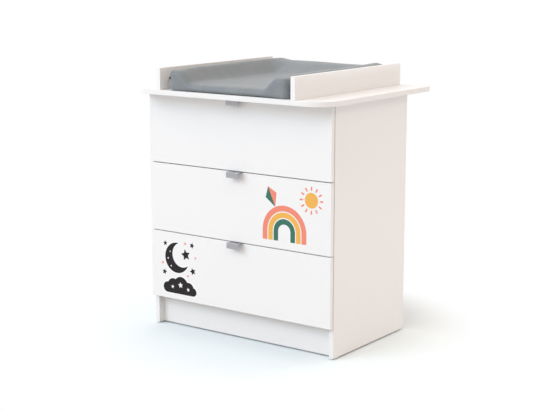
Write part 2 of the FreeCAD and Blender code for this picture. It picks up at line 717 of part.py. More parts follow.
def drawer_runner(drawer, name, side):
    """A folded strip under and beside the drawer side, with an axle at its rear."""
    body = new_body(f"drawer_runner_{drawer}_{name}", (0, 0, drawer_z(drawer)))
    wall = side * BOX_X
    web = side * (BOX_X + runner_steel)
    lip = side * (BOX_X + cell("lip_reach"))
    shelf = side * (BOX_X - cell("shelf_width"))
    low = BOX_Z - runner_steel
    add_outline(body, "Y", DRAWER_RUNNER_Y, DRAWER_RUNNER_Y + cell("runner_length"), [
        (shelf, low), (web, low), (web, LIP_UNDERSIDE), (lip, LIP_UNDERSIDE), (lip, LIP_TOP),
        (wall, LIP_TOP), (wall, BOX_Z), (shelf, BOX_Z)])
    bore(body, "Z", low, BOX_Z, [(side * (BOX_X - box_side / 2), FACE_Y + along)
                                 for along in SHELF_SCREWS], SHELF_SCREW_RADIUS + fit_slip)
    add_axle(body, web, side, (REAR_ROLLER_Y, REAR_ROLLER_Z))


def roller_pair(label, drawer, y, lift, near, inward):
    """The left and right roller on one line. near is the web's face that the axle stands on."""
    at_z = drawer_z(drawer) + lift
    rollers = []
    for name, side in SIDES:
        direction = {1: "+X", -1: "-X"}[side * inward]
        start = moved((side * near, y, at_z), direction, roller_play)
        wheel = rod(f"{label}_{name}_wheel", start, direction, roller_radius, roller_width)
        hole = rod(f"{label}_{name}_bore", start, direction, axle_radius + cell("axle_fit"),
                   roller_width)
        rollers.append(cut(f"{label}_{name}", wheel, hole))
    group(label, rollers)


# ---------------------------------------------------------------- drawers
SHELF_SCREWS = (76, 250, 420)
SHELF_SCREW_RADIUS = 1.5
SHELF_SCREW = 9
SHELF_SCREW_HEAD = 3
SHELF_SCREW_HEAD_THICKNESS = 1.5
DRAWER_CAMS_Z = (BOX_Z + 40, BOX_Z + 130)
DRAWER_DOWELS_Z = (BOX_Z + 70, BOX_Z + 155)
BACK_SCREWS_Z = (BOX_Z + 50, BOX_Z + 130)
BACK_SCREW_RADIUS = 1.8
BACK_SCREW = 38
BACK_SCREW_HEAD = 3.4
BACK_SCREW_SINK = 2.4
PULL_SCREW_X = 16
PULL_SCREW_DROP = 14
PULL_SCREW_RADIUS = 1.6
PULL_SCREW = 11
PULL_SCREW_HEAD = 2.8
PULL_SCREW_HEAD_THICKNESS = 1.6
GROOVE_PLAY = 0.1
BASE_PLAY = 0.5

front_height = cell("front_height")
small_cam_radius = cell("small_cam_radius")
small_cam_depth = cell("small_cam_depth")
small_cam_inset = cell("small_cam_inset")
small_dowel_radius = cell("small_dowel_radius")
small_dowel_tail = cell("small_dowel_tail")
pull_steel = cell("pull_steel")
BOX_INNER_X = BOX_X - box_side
BOX_MIDDLE_X = BOX_X - box_side / 2
BOX_REAR = front_thickness + cell("box_depth")
BOX_TOP = BOX_Z + cell("box_height")
BASE_Z = BOX_Z + cell("base_lift")
BASE_TOP = BASE_Z + cell("base_thickness")
GROOVE_SPAN = (BASE_Z - GROOVE_PLAY, BASE_TOP + GROOVE_PLAY)
GROOVE_END_X = BOX_INNER_X + cell("groove_depth")
BASE_END_X = GROOVE_END_X - BASE_PLAY
DRAWER_BOLT_START = front_thickness - bolt_bite
DRAWER_BOLT_LENGTH = bolt_bite + small_cam_inset - bolt_reach


def drawer_origin(drawer):
    """A drawer's own frame: the middle of the lower front edge of its front."""
    return (0, FACE_Y, drawer_z(drawer))


def drawer_front(drawer):
    half = OUTER_X - cell("front_inset")
    body = board(f"drawer_{drawer}_front", "Y", ((-half, half), (0, front_thickness),
                                                 (0, front_height)),
                 drawer_origin(drawer), eased=True)
    groove(body, "Y", front_thickness - cell("groove_depth"), front_thickness,
           rectangle((-GROOVE_END_X, GROOVE_END_X), GROOVE_SPAN))
    bore(body, "Y", DRAWER_BOLT_START - fit_slip, front_thickness,
         [(side * BOX_MIDDLE_X, z) for _, side in SIDES for z in DRAWER_CAMS_Z],
         bolt_radius + fit_slip)
    bore(body, "Y", front_thickness - dowel_bite - fit_slip, front_thickness,
         [(side * BOX_MIDDLE_X, z) for _, side in SIDES for z in DRAWER_DOWELS_Z],
         small_dowel_radius + fit_slip)
    bore(body, "Y", front_thickness - PULL_SCREW - fit_slip, front_thickness,
         [(side * PULL_SCREW_X, front_height - PULL_SCREW_DROP) for _, side in SIDES],
         PULL_SCREW_RADIUS + fit_slip)


def drawer_side(drawer, name, side):
    body = board(f"drawer_{drawer}_side_{name}", "X",
                 ((side * BOX_INNER_X, side * BOX_X), (front_thickness, BOX_REAR),
                  (BOX_Z, BOX_TOP)), drawer_origin(drawer))
    inner = side * BOX_INNER_X
    middle = side * BOX_MIDDLE_X
    groove(body, "X", inner, side * GROOVE_END_X,
           rectangle((front_thickness, BOX_REAR), GROOVE_SPAN))
    bore(body, "X", inner, inner + side * (small_cam_depth + fit_slip),
         [(front_thickness + small_cam_inset, z) for z in DRAWER_CAMS_Z],
         small_cam_radius + fit_slip)
    bore(body, "Y", front_thickness, front_thickness + small_cam_inset,
         [(middle, z) for z in DRAWER_CAMS_Z], bolt_radius + BOLT_ROOM)
    bore(body, "Y", front_thickness, front_thickness + small_dowel_tail + fit_slip,
         [(middle, z) for z in DRAWER_DOWELS_Z], small_dowel_radius + fit_slip)
    back_middle = BOX_REAR - box_side / 2
    bore(body, "X", inner, side * BOX_X, [(back_middle, z) for z in BACK_SCREWS_Z],
         BACK_SCREW_RADIUS + fit_slip)
    bore(body, "X", side * (BOX_X - BACK_SCREW_SINK), side * BOX_X,
         [(back_middle, z) for z in BACK_SCREWS_Z], BACK_SCREW_HEAD + fit_slip)
    bore(body, "Z", BOX_Z, BOX_Z + SHELF_SCREW - runner_steel + fit_slip,
         [(middle, along) for along in SHELF_SCREWS], SHELF_SCREW_RADIUS + fit_slip)


def drawer_back(drawer):
    body = board(f"drawer_{drawer}_back", "Y",
                 ((-BOX_INNER_X, BOX_INNER_X), (BOX_REAR - box_side, BOX_REAR),
                  (BASE_TOP, BOX_TOP)), drawer_origin(drawer))
    bite = fit_slip + BACK_SCREW + BACK_SCREW_SINK - box_side
    for _, side in SIDES:
        end = side * BOX_INNER_X
        bore(body, "X", end, end - side * bite,
             [(BOX_REAR - box_side / 2, z) for z in BACK_SCREWS_Z],
             BACK_SCREW_RADIUS + fit_slip)


def drawer_base(drawer):
    front_edge = front_thickness - cell("groove_depth") + BASE_PLAY
    board(f"drawer_{drawer}_base", "Z",
          ((-BASE_END_X, BASE_END_X), (front_edge, BOX_REAR), (BASE_Z, BASE_TOP)),
          drawer_origin(drawer))


def edge_pull(drawer):
    """A folded strip over the front's upper edge: rear tab, top and front leg."""
    body = new_body(f"drawer_{drawer}_pull", drawer_origin(drawer))
    half = cell("pull_width") / 2
    reach = -cell("pull_reach")
    high = front_height + pull_steel
    leg = high - cell("pull_drop")
    tab = front_height - cell("pull_tab") + pull_steel
    rear = front_thickness
    add_outline(body, "X", -half, half, [
        (reach, leg), (reach + pull_steel, leg), (reach + pull_steel, front_height),
        (rear, front_height), (rear, tab), (rear + pull_steel, tab), (rear + pull_steel, high),
        (reach, high)])

    def outer_bend(edge):
        middle = edge.CenterOfMass
        on_top = abs(middle.z - high.value) < TOUCH
        at_bend = min(abs(middle.y - reach.value), abs(middle.y - (rear + pull_steel).value))
        return on_top and at_bend < TOUCH and abs(middle.x) < TOUCH

    round_edges(body, cell("pull_bend"), outer_bend)
    bore(body, "Y", rear, rear + pull_steel,
         [(side * PULL_SCREW_X, front_height - PULL_SCREW_DROP) for _, side in SIDES],
         PULL_SCREW_RADIUS + fit_slip)


def drawer_fittings(drawer):
    base_z = drawer_z(drawer)

    def spot(x, y, z):
        return (x, FACE_Y + y, base_z + z)

    pieces = []
    for name, side in SIDES:
        outward = "+X" if side > 0 else "-X"
        for index, z in enumerate(DRAWER_CAMS_Z):
            cam_y = front_thickness + small_cam_inset
            pieces.append(cam_lock(f"{drawer}_{name}_{index}", spot(side * BOX_INNER_X, cam_y, z),
                                   outward, small_cam_radius, small_cam_depth,
                                   spot(side * BOX_MIDDLE_X, cam_y, z), "-Y"))
            pieces.append(rod("drawer_bolt", spot(side * BOX_MIDDLE_X, DRAWER_BOLT_START, z),
                              "+Y", bolt_radius, DRAWER_BOLT_LENGTH))
        pieces += [rod("drawer_dowel",
                       spot(side * BOX_MIDDLE_X, front_thickness - dowel_bite, z), "+Y",
                       small_dowel_radius, dowel_bite + small_dowel_tail)
                   for z in DRAWER_DOWELS_Z]
        pieces += [headed_screw("back", spot(side * (BOX_X - BACK_SCREW_SINK),
                                             BOX_REAR - box_side / 2, z),
                                opposite(outward), BACK_SCREW_RADIUS, BACK_SCREW,
                                BACK_SCREW_HEAD, BACK_SCREW_SINK)
                   for z in BACK_SCREWS_Z]
        pieces += [headed_screw("shelf", spot(side * BOX_MIDDLE_X, along, BOX_Z - runner_steel),
                                "+Z", SHELF_SCREW_RADIUS, SHELF_SCREW, SHELF_SCREW_HEAD,
                                SHELF_SCREW_HEAD_THICKNESS)
                   for along in SHELF_SCREWS]
        pieces.append(headed_screw("pull", spot(side * PULL_SCREW_X, front_thickness + pull_steel,
                                                front_height - PULL_SCREW_DROP), "-Y",
                                   PULL_SCREW_RADIUS, pull_steel + PULL_SCREW, PULL_SCREW_HEAD,
                                   PULL_SCREW_HEAD_THICKNESS))
    group(f"drawer_{drawer}_fittings", pieces)


def drawer_parts(drawer):
    drawer_front(drawer)
    for name, side in SIDES:
        drawer_side(drawer, name, side)
    drawer_back(drawer)
    drawer_base(drawer)
    edge_pull(drawer)
    drawer_fittings(drawer)
    for name, side in SIDES:
        cabinet_runner(drawer, name, side)
        drawer_runner(drawer, name, side)
    roller_pair(f"front_rollers_{drawer}", drawer, FRONT_ROLLER_Y, FRONT_ROLLER_Z,
                INNER_X - runner_steel, -1)
    roller_pair(f"rear_rollers_{drawer}", drawer, REAR_ROLLER_Y, REAR_ROLLER_Z,
                BOX_X + runner_steel, 1)


# ---------------------------------------------------------------- changing mat
# where the sections stand: degrees round a corner, parts of the length, and steps up the ramp
CORNER_ANGLES = range(0, 91, 15)
LENGTH_STEPS = (0.12, 0.3, 0.5)
RAMP_STEPS = 6


def rounded_wire(corners, station):
    """A closed outline across Y through (x, z, radius) corners, with an arc at each radius."""
    count = len(corners)
    arcs = []
    for index, (x, z, radius) in enumerate(corners):
        corner = Vector(x, station, z)
        before = Vector(corners[index - 1][0], station, corners[index - 1][1]) - corner
        after_x, after_z, _ = corners[(index + 1) % count]
        after = Vector(after_x, station, after_z) - corner
        half_angle = before.getAngle(after) / 2
        before.normalize()
        after.normalize()
        reach = radius / math.tan(half_angle)
        inward = (before + after).normalize()
        middle = corner + inward * (radius / math.sin(half_angle) - radius)
        arcs.append((corner + before * reach, middle, corner + after * reach))
    edges = []
    for index, (start, middle, end) in enumerate(arcs):
        edges.append(Part.Arc(start, middle, end).toShape())
        edges.append(Part.LineSegment(end, arcs[(index + 1) % count][0]).toShape())
    return Part.Wire(edges)


def quarter_drop(distance, radius):
    """How far a quarter circle has fallen away at a distance from its end."""
    short = radius - min(distance, radius)
    return radius - math.sqrt(radius * radius - short * short)


def mat_section(station, inset):
    """The mat's outline at a distance from its front, drawn in all round by the inset."""
    length = sheet.mat_length
    near_end = min(station, length - station) - inset
    drop = quarter_drop(near_end, sheet.mat_edge) + inset
    half = sheet.mat_width / 2
    waist = sheet.mat_waist * math.sin(math.pi * station / length)
    side = half - waist - quarter_drop(near_end, sheet.mat_corner) - inset
    ramp_end = length - sheet.mat_rim_width
    climb = min(max((station - ramp_end) / sheet.mat_ramp_length + 1, 0), 1)
    climb = climb * climb * (3 - 2 * climb)
    hollow = sheet.mat_floor + (sheet.mat_rim - sheet.mat_floor) * climb

    def half_section(ridge_width, slope):
        ridge = sheet.mat_ridge - drop
        shoulder = half - ridge_width
        return [(side, inset, sheet.mat_sole_round),
                (side, ridge, sheet.mat_edge - inset / 2),
                (shoulder, ridge, sheet.mat_shoulder_round),
                (shoulder - slope, hollow - drop, sheet.mat_foot_round)]

    right = half_section(sheet.mat_right_ridge, sheet.mat_right_slope)
    left = half_section(sheet.mat_left_ridge, sheet.mat_left_slope)
    return rounded_wire(right + [(-x, z, radius) for x, z, radius in reversed(left)], station)


def mat_form(inset):
    """The mat as a loft through its sections, drawn in all round by the inset."""
    length = sheet.mat_length
    ramp_start = length - sheet.mat_rim_width - sheet.mat_ramp_length
    rounding = [sheet.mat_corner * (1 - math.cos(math.radians(angle)))
                for angle in CORNER_ANGLES]
    middle = [length * part for part in LENGTH_STEPS]
    ramp = [ramp_start + sheet.mat_ramp_length * step / RAMP_STEPS
            for step in range(RAMP_STEPS + 1)]
    stations = ([inset + distance for distance in rounding] + middle + ramp
                + [length - inset - distance for distance in reversed(rounding)])
    return Part.makeLoft([mat_section(station, inset) for station in stations], True, True)


def mat():
    cover = cell("cover_thickness").value
    shell = mat_form(0).cut(mat_form(cover))
    foam = mat_form(cover + cell("cover_play").value)
    for label, shape in (("mat_cover", shell), ("mat_foam_core", foam)):
        feature = doc.addObject("Part::Feature", label)
        feature.Label = label
        feature.Shape = shape
        bind_place(feature, (cell("mat_shift"), -cell("mat_length") / 2, TOP_Z))
        nodes.append(feature)


# ---------------------------------------------------------------- assembly, checks and files
for side_name, side_sign in SIDES:
    side_panel(side_name, side_sign)
    side_guard(side_name, side_sign)
bottom_panel()
plinth()
top_rail("front", FRONT_RAIL_Y, RAIL_CAMS_Y[0], RAIL_DOWELS_Y[0], RAIL_MIDDLES_Y[0])
top_rail("rear", REAR_RAIL_Y, RAIL_CAMS_Y[1], RAIL_DOWELS_Y[1], RAIL_MIDDLES_Y[1])
back_panel()
changing_top()
carcass_fittings()
for drawer_name in DRAWERS:
    drawer_parts(drawer_name)
mat()
doc.recompute()

failed = [item.Label for item in doc.Objects if {"Invalid", "Error"} & set(item.State)]
if failed:
    raise SystemExit(f"failed objects: {failed}")
for item in doc.Objects:
    if item.TypeId == "PartDesign::Pocket":
        removed = item.BaseFeature.Shape.Volume - item.Shape.Volume
        if removed < SMALLEST_CUT:
            raise SystemExit(f"{item.Label} removes nothing")
os.makedirs("parts", exist_ok=True)
for node in nodes:
    if node.Shape.isNull() or not node.Shape.isValid() or not node.Shape.Solids:
        raise SystemExit(f"{node.Label} has no valid shape")
    node.Shape.exportStep(f"parts/{node.Label}.step")
print(len(nodes), "nodes,", sum(len(node.Shape.Solids) for node in nodes), "solids")
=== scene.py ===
"""Looks of the changing dresser: materials, mat cover, drawer motifs, light and camera.

Metres, in the frame of the CAD: +Z is up, the drawer fronts face -Y and the floor is z = 0.
"""
import math

import bmesh
import bpy
from mathutils import Matrix, Vector, noise
from mathutils.bvhtree import BVHTree
from mathutils.kdtree import KDTree


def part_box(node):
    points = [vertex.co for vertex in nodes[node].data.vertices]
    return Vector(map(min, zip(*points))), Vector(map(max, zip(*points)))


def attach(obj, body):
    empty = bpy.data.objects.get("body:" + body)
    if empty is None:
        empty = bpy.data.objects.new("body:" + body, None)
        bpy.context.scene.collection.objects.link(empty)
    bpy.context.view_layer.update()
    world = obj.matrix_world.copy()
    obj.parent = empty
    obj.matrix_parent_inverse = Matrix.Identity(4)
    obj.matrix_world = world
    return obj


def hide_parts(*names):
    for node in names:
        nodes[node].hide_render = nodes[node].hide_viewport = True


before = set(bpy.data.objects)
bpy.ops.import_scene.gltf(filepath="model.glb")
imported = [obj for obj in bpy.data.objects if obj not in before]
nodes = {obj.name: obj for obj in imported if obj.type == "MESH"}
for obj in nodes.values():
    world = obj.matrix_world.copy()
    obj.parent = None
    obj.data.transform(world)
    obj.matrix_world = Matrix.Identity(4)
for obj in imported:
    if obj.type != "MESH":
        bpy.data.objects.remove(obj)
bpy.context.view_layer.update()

MM = 0.001
UP = Vector((0, 0, 1))
WHITE = (1, 1, 1, 1)


# ---------------------------------------------------------------- camera
FOCAL_PIXELS = 1285
PHOTO_WIDTH = 537
SENSOR = 36
CAMERA_AT = (2.707, -3.789, 1.359)
CAMERA_AZIMUTH = math.radians(36.09)
CAMERA_ELEVATION = math.radians(10.94)

camera_data = bpy.data.cameras.new("camera")
camera_data.sensor_width = SENSOR
camera_data.lens = FOCAL_PIXELS / PHOTO_WIDTH * SENSOR
camera = bpy.data.objects.new("camera", camera_data)
camera.location = CAMERA_AT
camera.rotation_euler = (math.pi / 2 - CAMERA_ELEVATION, 0, CAMERA_AZIMUTH)
bpy.context.scene.collection.objects.link(camera)
bpy.context.scene.camera = camera
bpy.context.scene.view_settings.view_transform = "Standard"


# ---------------------------------------------------------------- materials
SRGB_KNEE = 0.04045
SRGB_SLOPE = 12.92
SRGB_OFFSET = 0.055
SRGB_GAMMA = 2.4


def linear(red, green, blue):
    """A colour of 0 to 255 as the renderer's linear colour."""
    parts = [value / 255 for value in (red, green, blue)]
    return tuple(part / SRGB_SLOPE if part <= SRGB_KNEE
                 else ((part + SRGB_OFFSET) / (1 + SRGB_OFFSET)) ** SRGB_GAMMA
                 for part in parts) + (1,)


def scaled(color, factor):
    """A linear colour made darker or lighter."""
    return tuple(part * factor for part in color[:3]) + (1,)


class Look:
    """A material with a Principled shader and short ways to add nodes."""

    def __init__(self, name, color, **sockets):
        self.material = bpy.data.materials.new(name)
        self.material.use_nodes = True
        self.tree = self.material.node_tree
        self.shader = self.tree.nodes["Principled BSDF"]
        self.place = self.add("ShaderNodeTexCoord").outputs["Object"]
        self.feed(self.shader.inputs["Base Color"], color)
        for socket, value in sockets.items():
            self.shader.inputs[socket.replace("_", " ")].default_value = value

    def feed(self, socket, value):
        if isinstance(value, bpy.types.NodeSocket):
            self.tree.links.new(value, socket)
        else:
            socket.default_value = value

    def add(self, kind, inputs=None, **settings):
        node = self.tree.nodes.new(kind)
        for name, value in settings.items():
            setattr(node, name, value)
        for key, value in (inputs or {}).items():
            self.feed(node.inputs[key], value)
        return node

    def math(self, operation, *values):
        return self.add("ShaderNodeMath", dict(enumerate(values)),
                        operation=operation).outputs[0]

    def stretch(self, factors):
        """The place, scaled along X, Y and Z, for a grain that runs one way."""
        return self.add("ShaderNodeVectorMath", {0: self.place, 1: factors},
                        operation="MULTIPLY").outputs[0]

    def noise(self, scale, detail=3, place=None):
        return self.add("ShaderNodeTexNoise", {"Vector": place or self.place, "Scale": scale,
                                               "Detail": detail}).outputs["Fac"]

    def cells(self, scale):
        return self.add("ShaderNodeTexVoronoi", {"Vector": self.place, "Scale": scale},
                        feature="F1").outputs["Distance"]

    def remap(self, value, low, high, to_low, to_high):
        return self.add("ShaderNodeMapRange",
                        {0: value, 1: low, 2: high, 3: to_low, 4: to_high},
                        interpolation_type="SMOOTHSTEP").outputs[0]

    def blend(self, factor, one, other):
        node = self.add("ShaderNodeMix", data_type="RGBA")
        self.feed(node.inputs["Factor"], factor)
        self.feed(node.inputs[6], one)
        self.feed(node.inputs[7], other)
        return node.outputs[2]

    def use(self, socket, value):
        self.feed(self.shader.inputs[socket], value)

    def bump(self, height, depth, strength, under=None):
        inputs = {"Height": height, "Distance": depth, "Strength": strength}
        if under is not None:
            inputs["Normal"] = under
        return self.add("ShaderNodeBump", inputs).outputs[0]


BOARD_TONE = (241, 241, 240)
BOARD_ROUGHNESS = 0.38
TONE_DRIFT = 1
BAND_DRIFT = 2
EDGE_BAND = 0.9 * MM
JOINT_WIDTH = 0.22 * MM
JOINT_COLOR = linear(196, 194, 190)


def edge_distance(look, box, thin, corner):
    """How far a place on a board is from the board's outline, seen along its thin axis."""
    low, high = box
    offset = look.add("ShaderNodeVectorMath", {0: look.place, 1: tuple((low + high) / 2)},
                      operation="SUBTRACT").outputs[0]
    away = look.add("ShaderNodeVectorMath", {0: offset}, operation="ABSOLUTE").outputs[0]
    inside = look.add("ShaderNodeVectorMath", {0: tuple((high - low) / 2), 1: away},
                      operation="SUBTRACT").outputs[0]
    parts = look.add("ShaderNodeSeparateXYZ", {0: inside}).outputs
    one, other = [parts[index] for index in range(3) if index != thin]
    edge = look.math("MINIMUM", one, other)
    if not corner:
        return edge
    depth = look.add("ShaderNodeSeparateXYZ", {0: offset}).outputs["Y"]
    radius = look.math("MULTIPLY", look.math("LESS_THAN", depth, 0.0), corner)
    short = [look.math("MAXIMUM", look.math("SUBTRACT", radius, part), 0.0)
             for part in (one, other)]
    squares = [look.math("MULTIPLY", part, part) for part in short]
    reach = look.math("SQRT", look.math("ADD", *squares))
    rounded = look.math("SUBTRACT", radius, reach)
    is_corner = look.math("GREATER_THAN", look.math("MULTIPLY", *short), 0.0)
    return look.add("ShaderNodeMix", {"Factor": is_corner, 2: edge, 3: rounded},
                    data_type="FLOAT").outputs[0]


def board_look(name, box, thin, corner=0.0, tone=BOARD_TONE, roughness=BOARD_ROUGHNESS):
    """White melamine: a fine pearl, a faint cloud in the gloss, and edge bands with their joint.

    thin is the index of the board's thin axis, corner the radius of its two front corners.
    """
    look = Look(name, linear(*tone))
    edge = edge_distance(look, box, thin, corner)
    from_joint = look.math("ABSOLUTE", look.math("SUBTRACT", edge, EDGE_BAND))
    joint = look.remap(from_joint, JOINT_WIDTH * 0.4, JOINT_WIDTH, 1.0, 0.0)
    band = look.remap(edge, EDGE_BAND * 0.8, EDGE_BAND, 1.0, 0.0)
    cloud = look.noise(scale=5)
    pearl = look.noise(scale=1500, detail=2)
    base = look.blend(cloud, linear(*[part - TONE_DRIFT for part in tone]),
                      linear(*[min(part + TONE_DRIFT, 255) for part in tone]))
    base = look.blend(look.math("MULTIPLY", band, 0.5), base,
                      linear(*[part - BAND_DRIFT for part in tone]))
    base = look.blend(look.math("MULTIPLY", joint, 0.45), base, JOINT_COLOR)
    look.use("Base Color", base)
    gloss = look.remap(cloud, 0.3, 0.7, roughness - 0.03, roughness + 0.04)
    look.use("Roughness", look.math("ADD", gloss, look.math("MULTIPLY", band, -0.06)))
    fine = look.bump(pearl, depth=0.03 * MM, strength=0.6)
    look.use("Normal", look.bump(look.math("SUBTRACT", 1.0, joint), depth=0.06 * MM,
                                 strength=0.5, under=fine))
    return look.material


HARDBOARD_WHITE = (linear(235, 235, 233), linear(240, 240, 239))
FIBRE_BROWN = (linear(112, 82, 56), linear(158, 122, 88))
FIBRE_PATCH = linear(128, 96, 68)


def hardboard_look(name, axis, sign):
    """Thin hardboard: white film on one side, raw brown fibre with a screen mark on the other.

    The raw side is the one that faces along the axis with this index, forwards or backwards.
    """
    look = Look(name, HARDBOARD_WHITE[0])
    facing = look.add("ShaderNodeTexCoord").outputs["Normal"]
    across = look.add("ShaderNodeSeparateXYZ", {0: facing}).outputs[axis]
    raw = look.remap(look.math("MULTIPLY", across, float(sign)), 0.2, 0.6, 0.0, 1.0)
    fibre = look.noise(scale=320, detail=6)
    patches = look.noise(scale=9)
    brown = look.blend(fibre, *FIBRE_BROWN)
    brown = look.blend(look.math("MULTIPLY", patches, 0.35), brown, FIBRE_PATCH)
    white = look.blend(look.noise(scale=6), *HARDBOARD_WHITE)
    look.use("Base Color", look.blend(raw, white, brown))
    look.use("Roughness", look.remap(raw, 0.0, 1.0, 0.42, 0.85))
    screen = look.cells(scale=620)
    height = look.math("MULTIPLY", look.math("ADD", screen, fibre), raw)
    look.use("Normal", look.bump(height, depth=0.12 * MM, strength=0.6))
    return look.material


def brushed_look(name, color, roughness, grain):
    """Satin metal with a brush grain; grain scales the place so that it runs along one axis."""
    look = Look(name, color, Metallic=1.0)
    lines = look.noise(scale=1.0, detail=4, place=look.stretch(grain))
    blotch = look.noise(scale=40)
    look.use("Base Color", look.blend(look.remap(lines, 0.3, 0.7, 0.0, 0.7), color,
                                      scaled(color, 0.86)))
    spread = look.remap(lines, 0.25, 0.75, roughness - 0.07, roughness + 0.08)
    look.use("Roughness", look.math("ADD", spread, look.math("MULTIPLY", blotch, 0.04)))
    look.use("Normal", look.bump(lines, depth=0.04 * MM, strength=0.5))
    return look.material


COAT_WHITE = (linear(230, 230, 226), linear(238, 238, 235))


def coated_steel_look():
    """White epoxy powder coat with its fine orange peel."""
    look = Look("runner_coat", COAT_WHITE[1])
    peel = look.noise(scale=900, detail=2)
    look.use("Base Color", look.blend(look.noise(scale=14), *COAT_WHITE))
    look.use("Roughness", look.remap(peel, 0.3, 0.7, 0.3, 0.4))
    look.use("Normal", look.bump(peel, depth=0.06 * MM, strength=0.7))
    return look.material


def moulded_look(name, color, roughness):
    """Moulded plastic with a fine erosion texture."""
    look = Look(name, color, Subsurface_Weight=0.05)
    grain = look.noise(scale=1300)
    look.use("Base Color", look.blend(look.noise(scale=25), color, scaled(color, 0.93)))
    look.use("Roughness", look.remap(grain, 0.3, 0.7, roughness - 0.05, roughness + 0.07))
    look.use("Normal", look.bump(grain, depth=0.05 * MM, strength=0.5))
    return look.material


BEECH_LINES = (linear(196, 156, 112), linear(224, 190, 148))
BEECH_FLECK = linear(158, 116, 78)


def wood_look():
    """Beech: fine lines along X with short flecks."""
    look = Look("beech", BEECH_LINES[1])
    lines = look.noise(scale=1.0, detail=5, place=look.stretch((30, 900, 900)))
    flecks = look.noise(scale=1.0, detail=2, place=look.stretch((250, 2600, 2600)))
    base = look.blend(lines, *BEECH_LINES)
    look.use("Base Color", look.blend(look.remap(flecks, 0.62, 0.7, 0.0, 0.5), base, BEECH_FLECK))
    look.use("Roughness", look.remap(lines, 0.3, 0.7, 0.55, 0.7))
    look.use("Normal", look.bump(lines, depth=0.1 * MM, strength=0.5))
    return look.material


def vinyl_look(name, color):
    """Printed film: satin, with a very fine tooth and a slight mottle in the ink."""
    look = Look(name, color, Specular_IOR_Level=0.3)
    tooth = look.noise(scale=2200, detail=2)
    ink = look.noise(scale=180)
    lighter = tuple(min(part * 1.12 + 0.004, 1) for part in color[:3]) + (1,)
    look.use("Base Color", look.blend(look.remap(ink, 0.4, 0.7, 0.0, 0.6), color, lighter))
    look.use("Roughness", look.remap(tooth, 0.3, 0.7, 0.44, 0.56))
    look.use("Normal", look.bump(tooth, depth=0.02 * MM, strength=0.5))
    return look.material


MAT_ROUGHNESS = 0.46


def mat_look(name, dark, light):
    """Coated fabric: small pebbles over a knitted back, soft creases and a slight mottle."""
    look = Look(name, light, Sheen_Weight=0.1, Sheen_Roughness=0.5, Specular_IOR_Level=0.42)
    pebbles = look.cells(scale=760)
    creases = look.noise(scale=130, detail=5)
    mottle = look.noise(scale=22)
    base = look.blend(look.remap(mottle, 0.3, 0.7, 0.0, 1.0), dark, light)
    base = look.blend(look.remap(pebbles, 0.0, 0.55, 0.0, 0.14), base, scaled(light, 1.25))
    look.use("Base Color", base)
    look.use("Roughness", look.remap(creases, 0.3, 0.7, MAT_ROUGHNESS - 0.05,
                                     MAT_ROUGHNESS + 0.06))
    coarse = look.bump(creases, depth=0.25 * MM, strength=0.35)
    look.use("Normal", look.bump(pebbles, depth=0.18 * MM, strength=0.55, under=coarse))
    return look.material


def woven_look(name, color):
    """Polyester tape or thread: fine ribs on a dull, slightly fuzzy face."""
    look = Look(name, color, Sheen_Weight=0.1, Specular_IOR_Level=0.3)
    ribs = look.noise(scale=1.0, detail=2, place=look.stretch((2600, 2600, 900)))
    fuzz = look.noise(scale=420, detail=4)
    look.use("Base Color", look.blend(ribs, scaled(color, 0.78), color))
    look.use("Roughness", look.remap(fuzz, 0.3, 0.7, 0.68, 0.82))
    look.use("Normal", look.bump(ribs, depth=0.12 * MM, strength=0.7))
    return look.material


ALUMINIUM = linear(175, 173, 177)
ZINC = linear(206, 208, 210)
zinc = brushed_look("bright_zinc", ZINC, roughness=0.3, grain=(700, 700, 700))
pull_metal = brushed_look("satin_aluminium", ALUMINIUM, roughness=0.42, grain=(60, 3200, 3200))
runner_coat = coated_steel_look()
nylon = moulded_look("white_nylon", linear(236, 235, 230), roughness=0.42)
glide_plastic = moulded_look("glide_plastic", linear(208, 208, 206), roughness=0.5)
beech = wood_look()

# the index of the thin axis of the boards whose names start or end so
THIN_AXIS = {"side_panel": 0, "bottom_panel": 2, "plinth": 1, "top_rail": 2, "front": 1}
BOX_TONE = (236, 236, 234)
BOX_ROUGHNESS = 0.5
# painted light: the side guards are the same white melamine, given a lighter tone so that their
# faces look more brightly lit
GUARD_PAINTED_LIGHTER_TONE = (244, 244, 244)
TOP_CORNER = 83 * MM


def node_look(name):
    """The material of a CAD node."""
    if name.endswith("_pull"):
        return pull_metal
    if "rollers" in name:
        return nylon
    if "runner" in name and "screws" not in name:
        return runner_coat
    if name == "floor_glides":
        return glide_plastic
    if name == "wood_dowels":
        return beech
    if name == "back_panel":
        return hardboard_look("back_hardboard", 1, 1)
    if name.startswith("drawer") and name.endswith("_base"):
        return hardboard_look(f"{name}_hardboard", 2, -1)
    if name.startswith("drawer") and "_side_" in name:
        return board_look(f"{name}_board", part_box(name), 0, tone=BOX_TONE,
                          roughness=BOX_ROUGHNESS)
    if name.startswith("drawer") and name.endswith("_back"):
        return board_look(f"{name}_board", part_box(name), 1, tone=BOX_TONE,
                          roughness=BOX_ROUGHNESS)
    # the guards take the lighter white, which is painted light
    if name.startswith("side_guard"):
        return board_look(f"{name}_board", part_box(name), 0, tone=GUARD_PAINTED_LIGHTER_TONE)
    if name == "changing_top":
        return board_look("changing_top_board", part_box(name), 2, corner=TOP_CORNER)
    for start, thin in THIN_AXIS.items():
        if name.startswith(start) or name.endswith(f"_{start}"):
            return board_look(f"{name}_board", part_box(name), thin)
    return zinc


for node_name, node in nodes.items():
    if node_name.startswith("mat_"):
        continue
    finish = node_look(node_name)
    for material_slot in node.material_slots:
        material_slot.material = finish


# ---------------------------------------------------------------- mesh helpers
def new_piece(name, mesh, material, body):
    piece = bpy.data.objects.new(name, mesh)
    bpy.context.scene.collection.objects.link(piece)
    mesh.materials.clear()
    mesh.materials.append(material)
    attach(piece, body)
    return piece


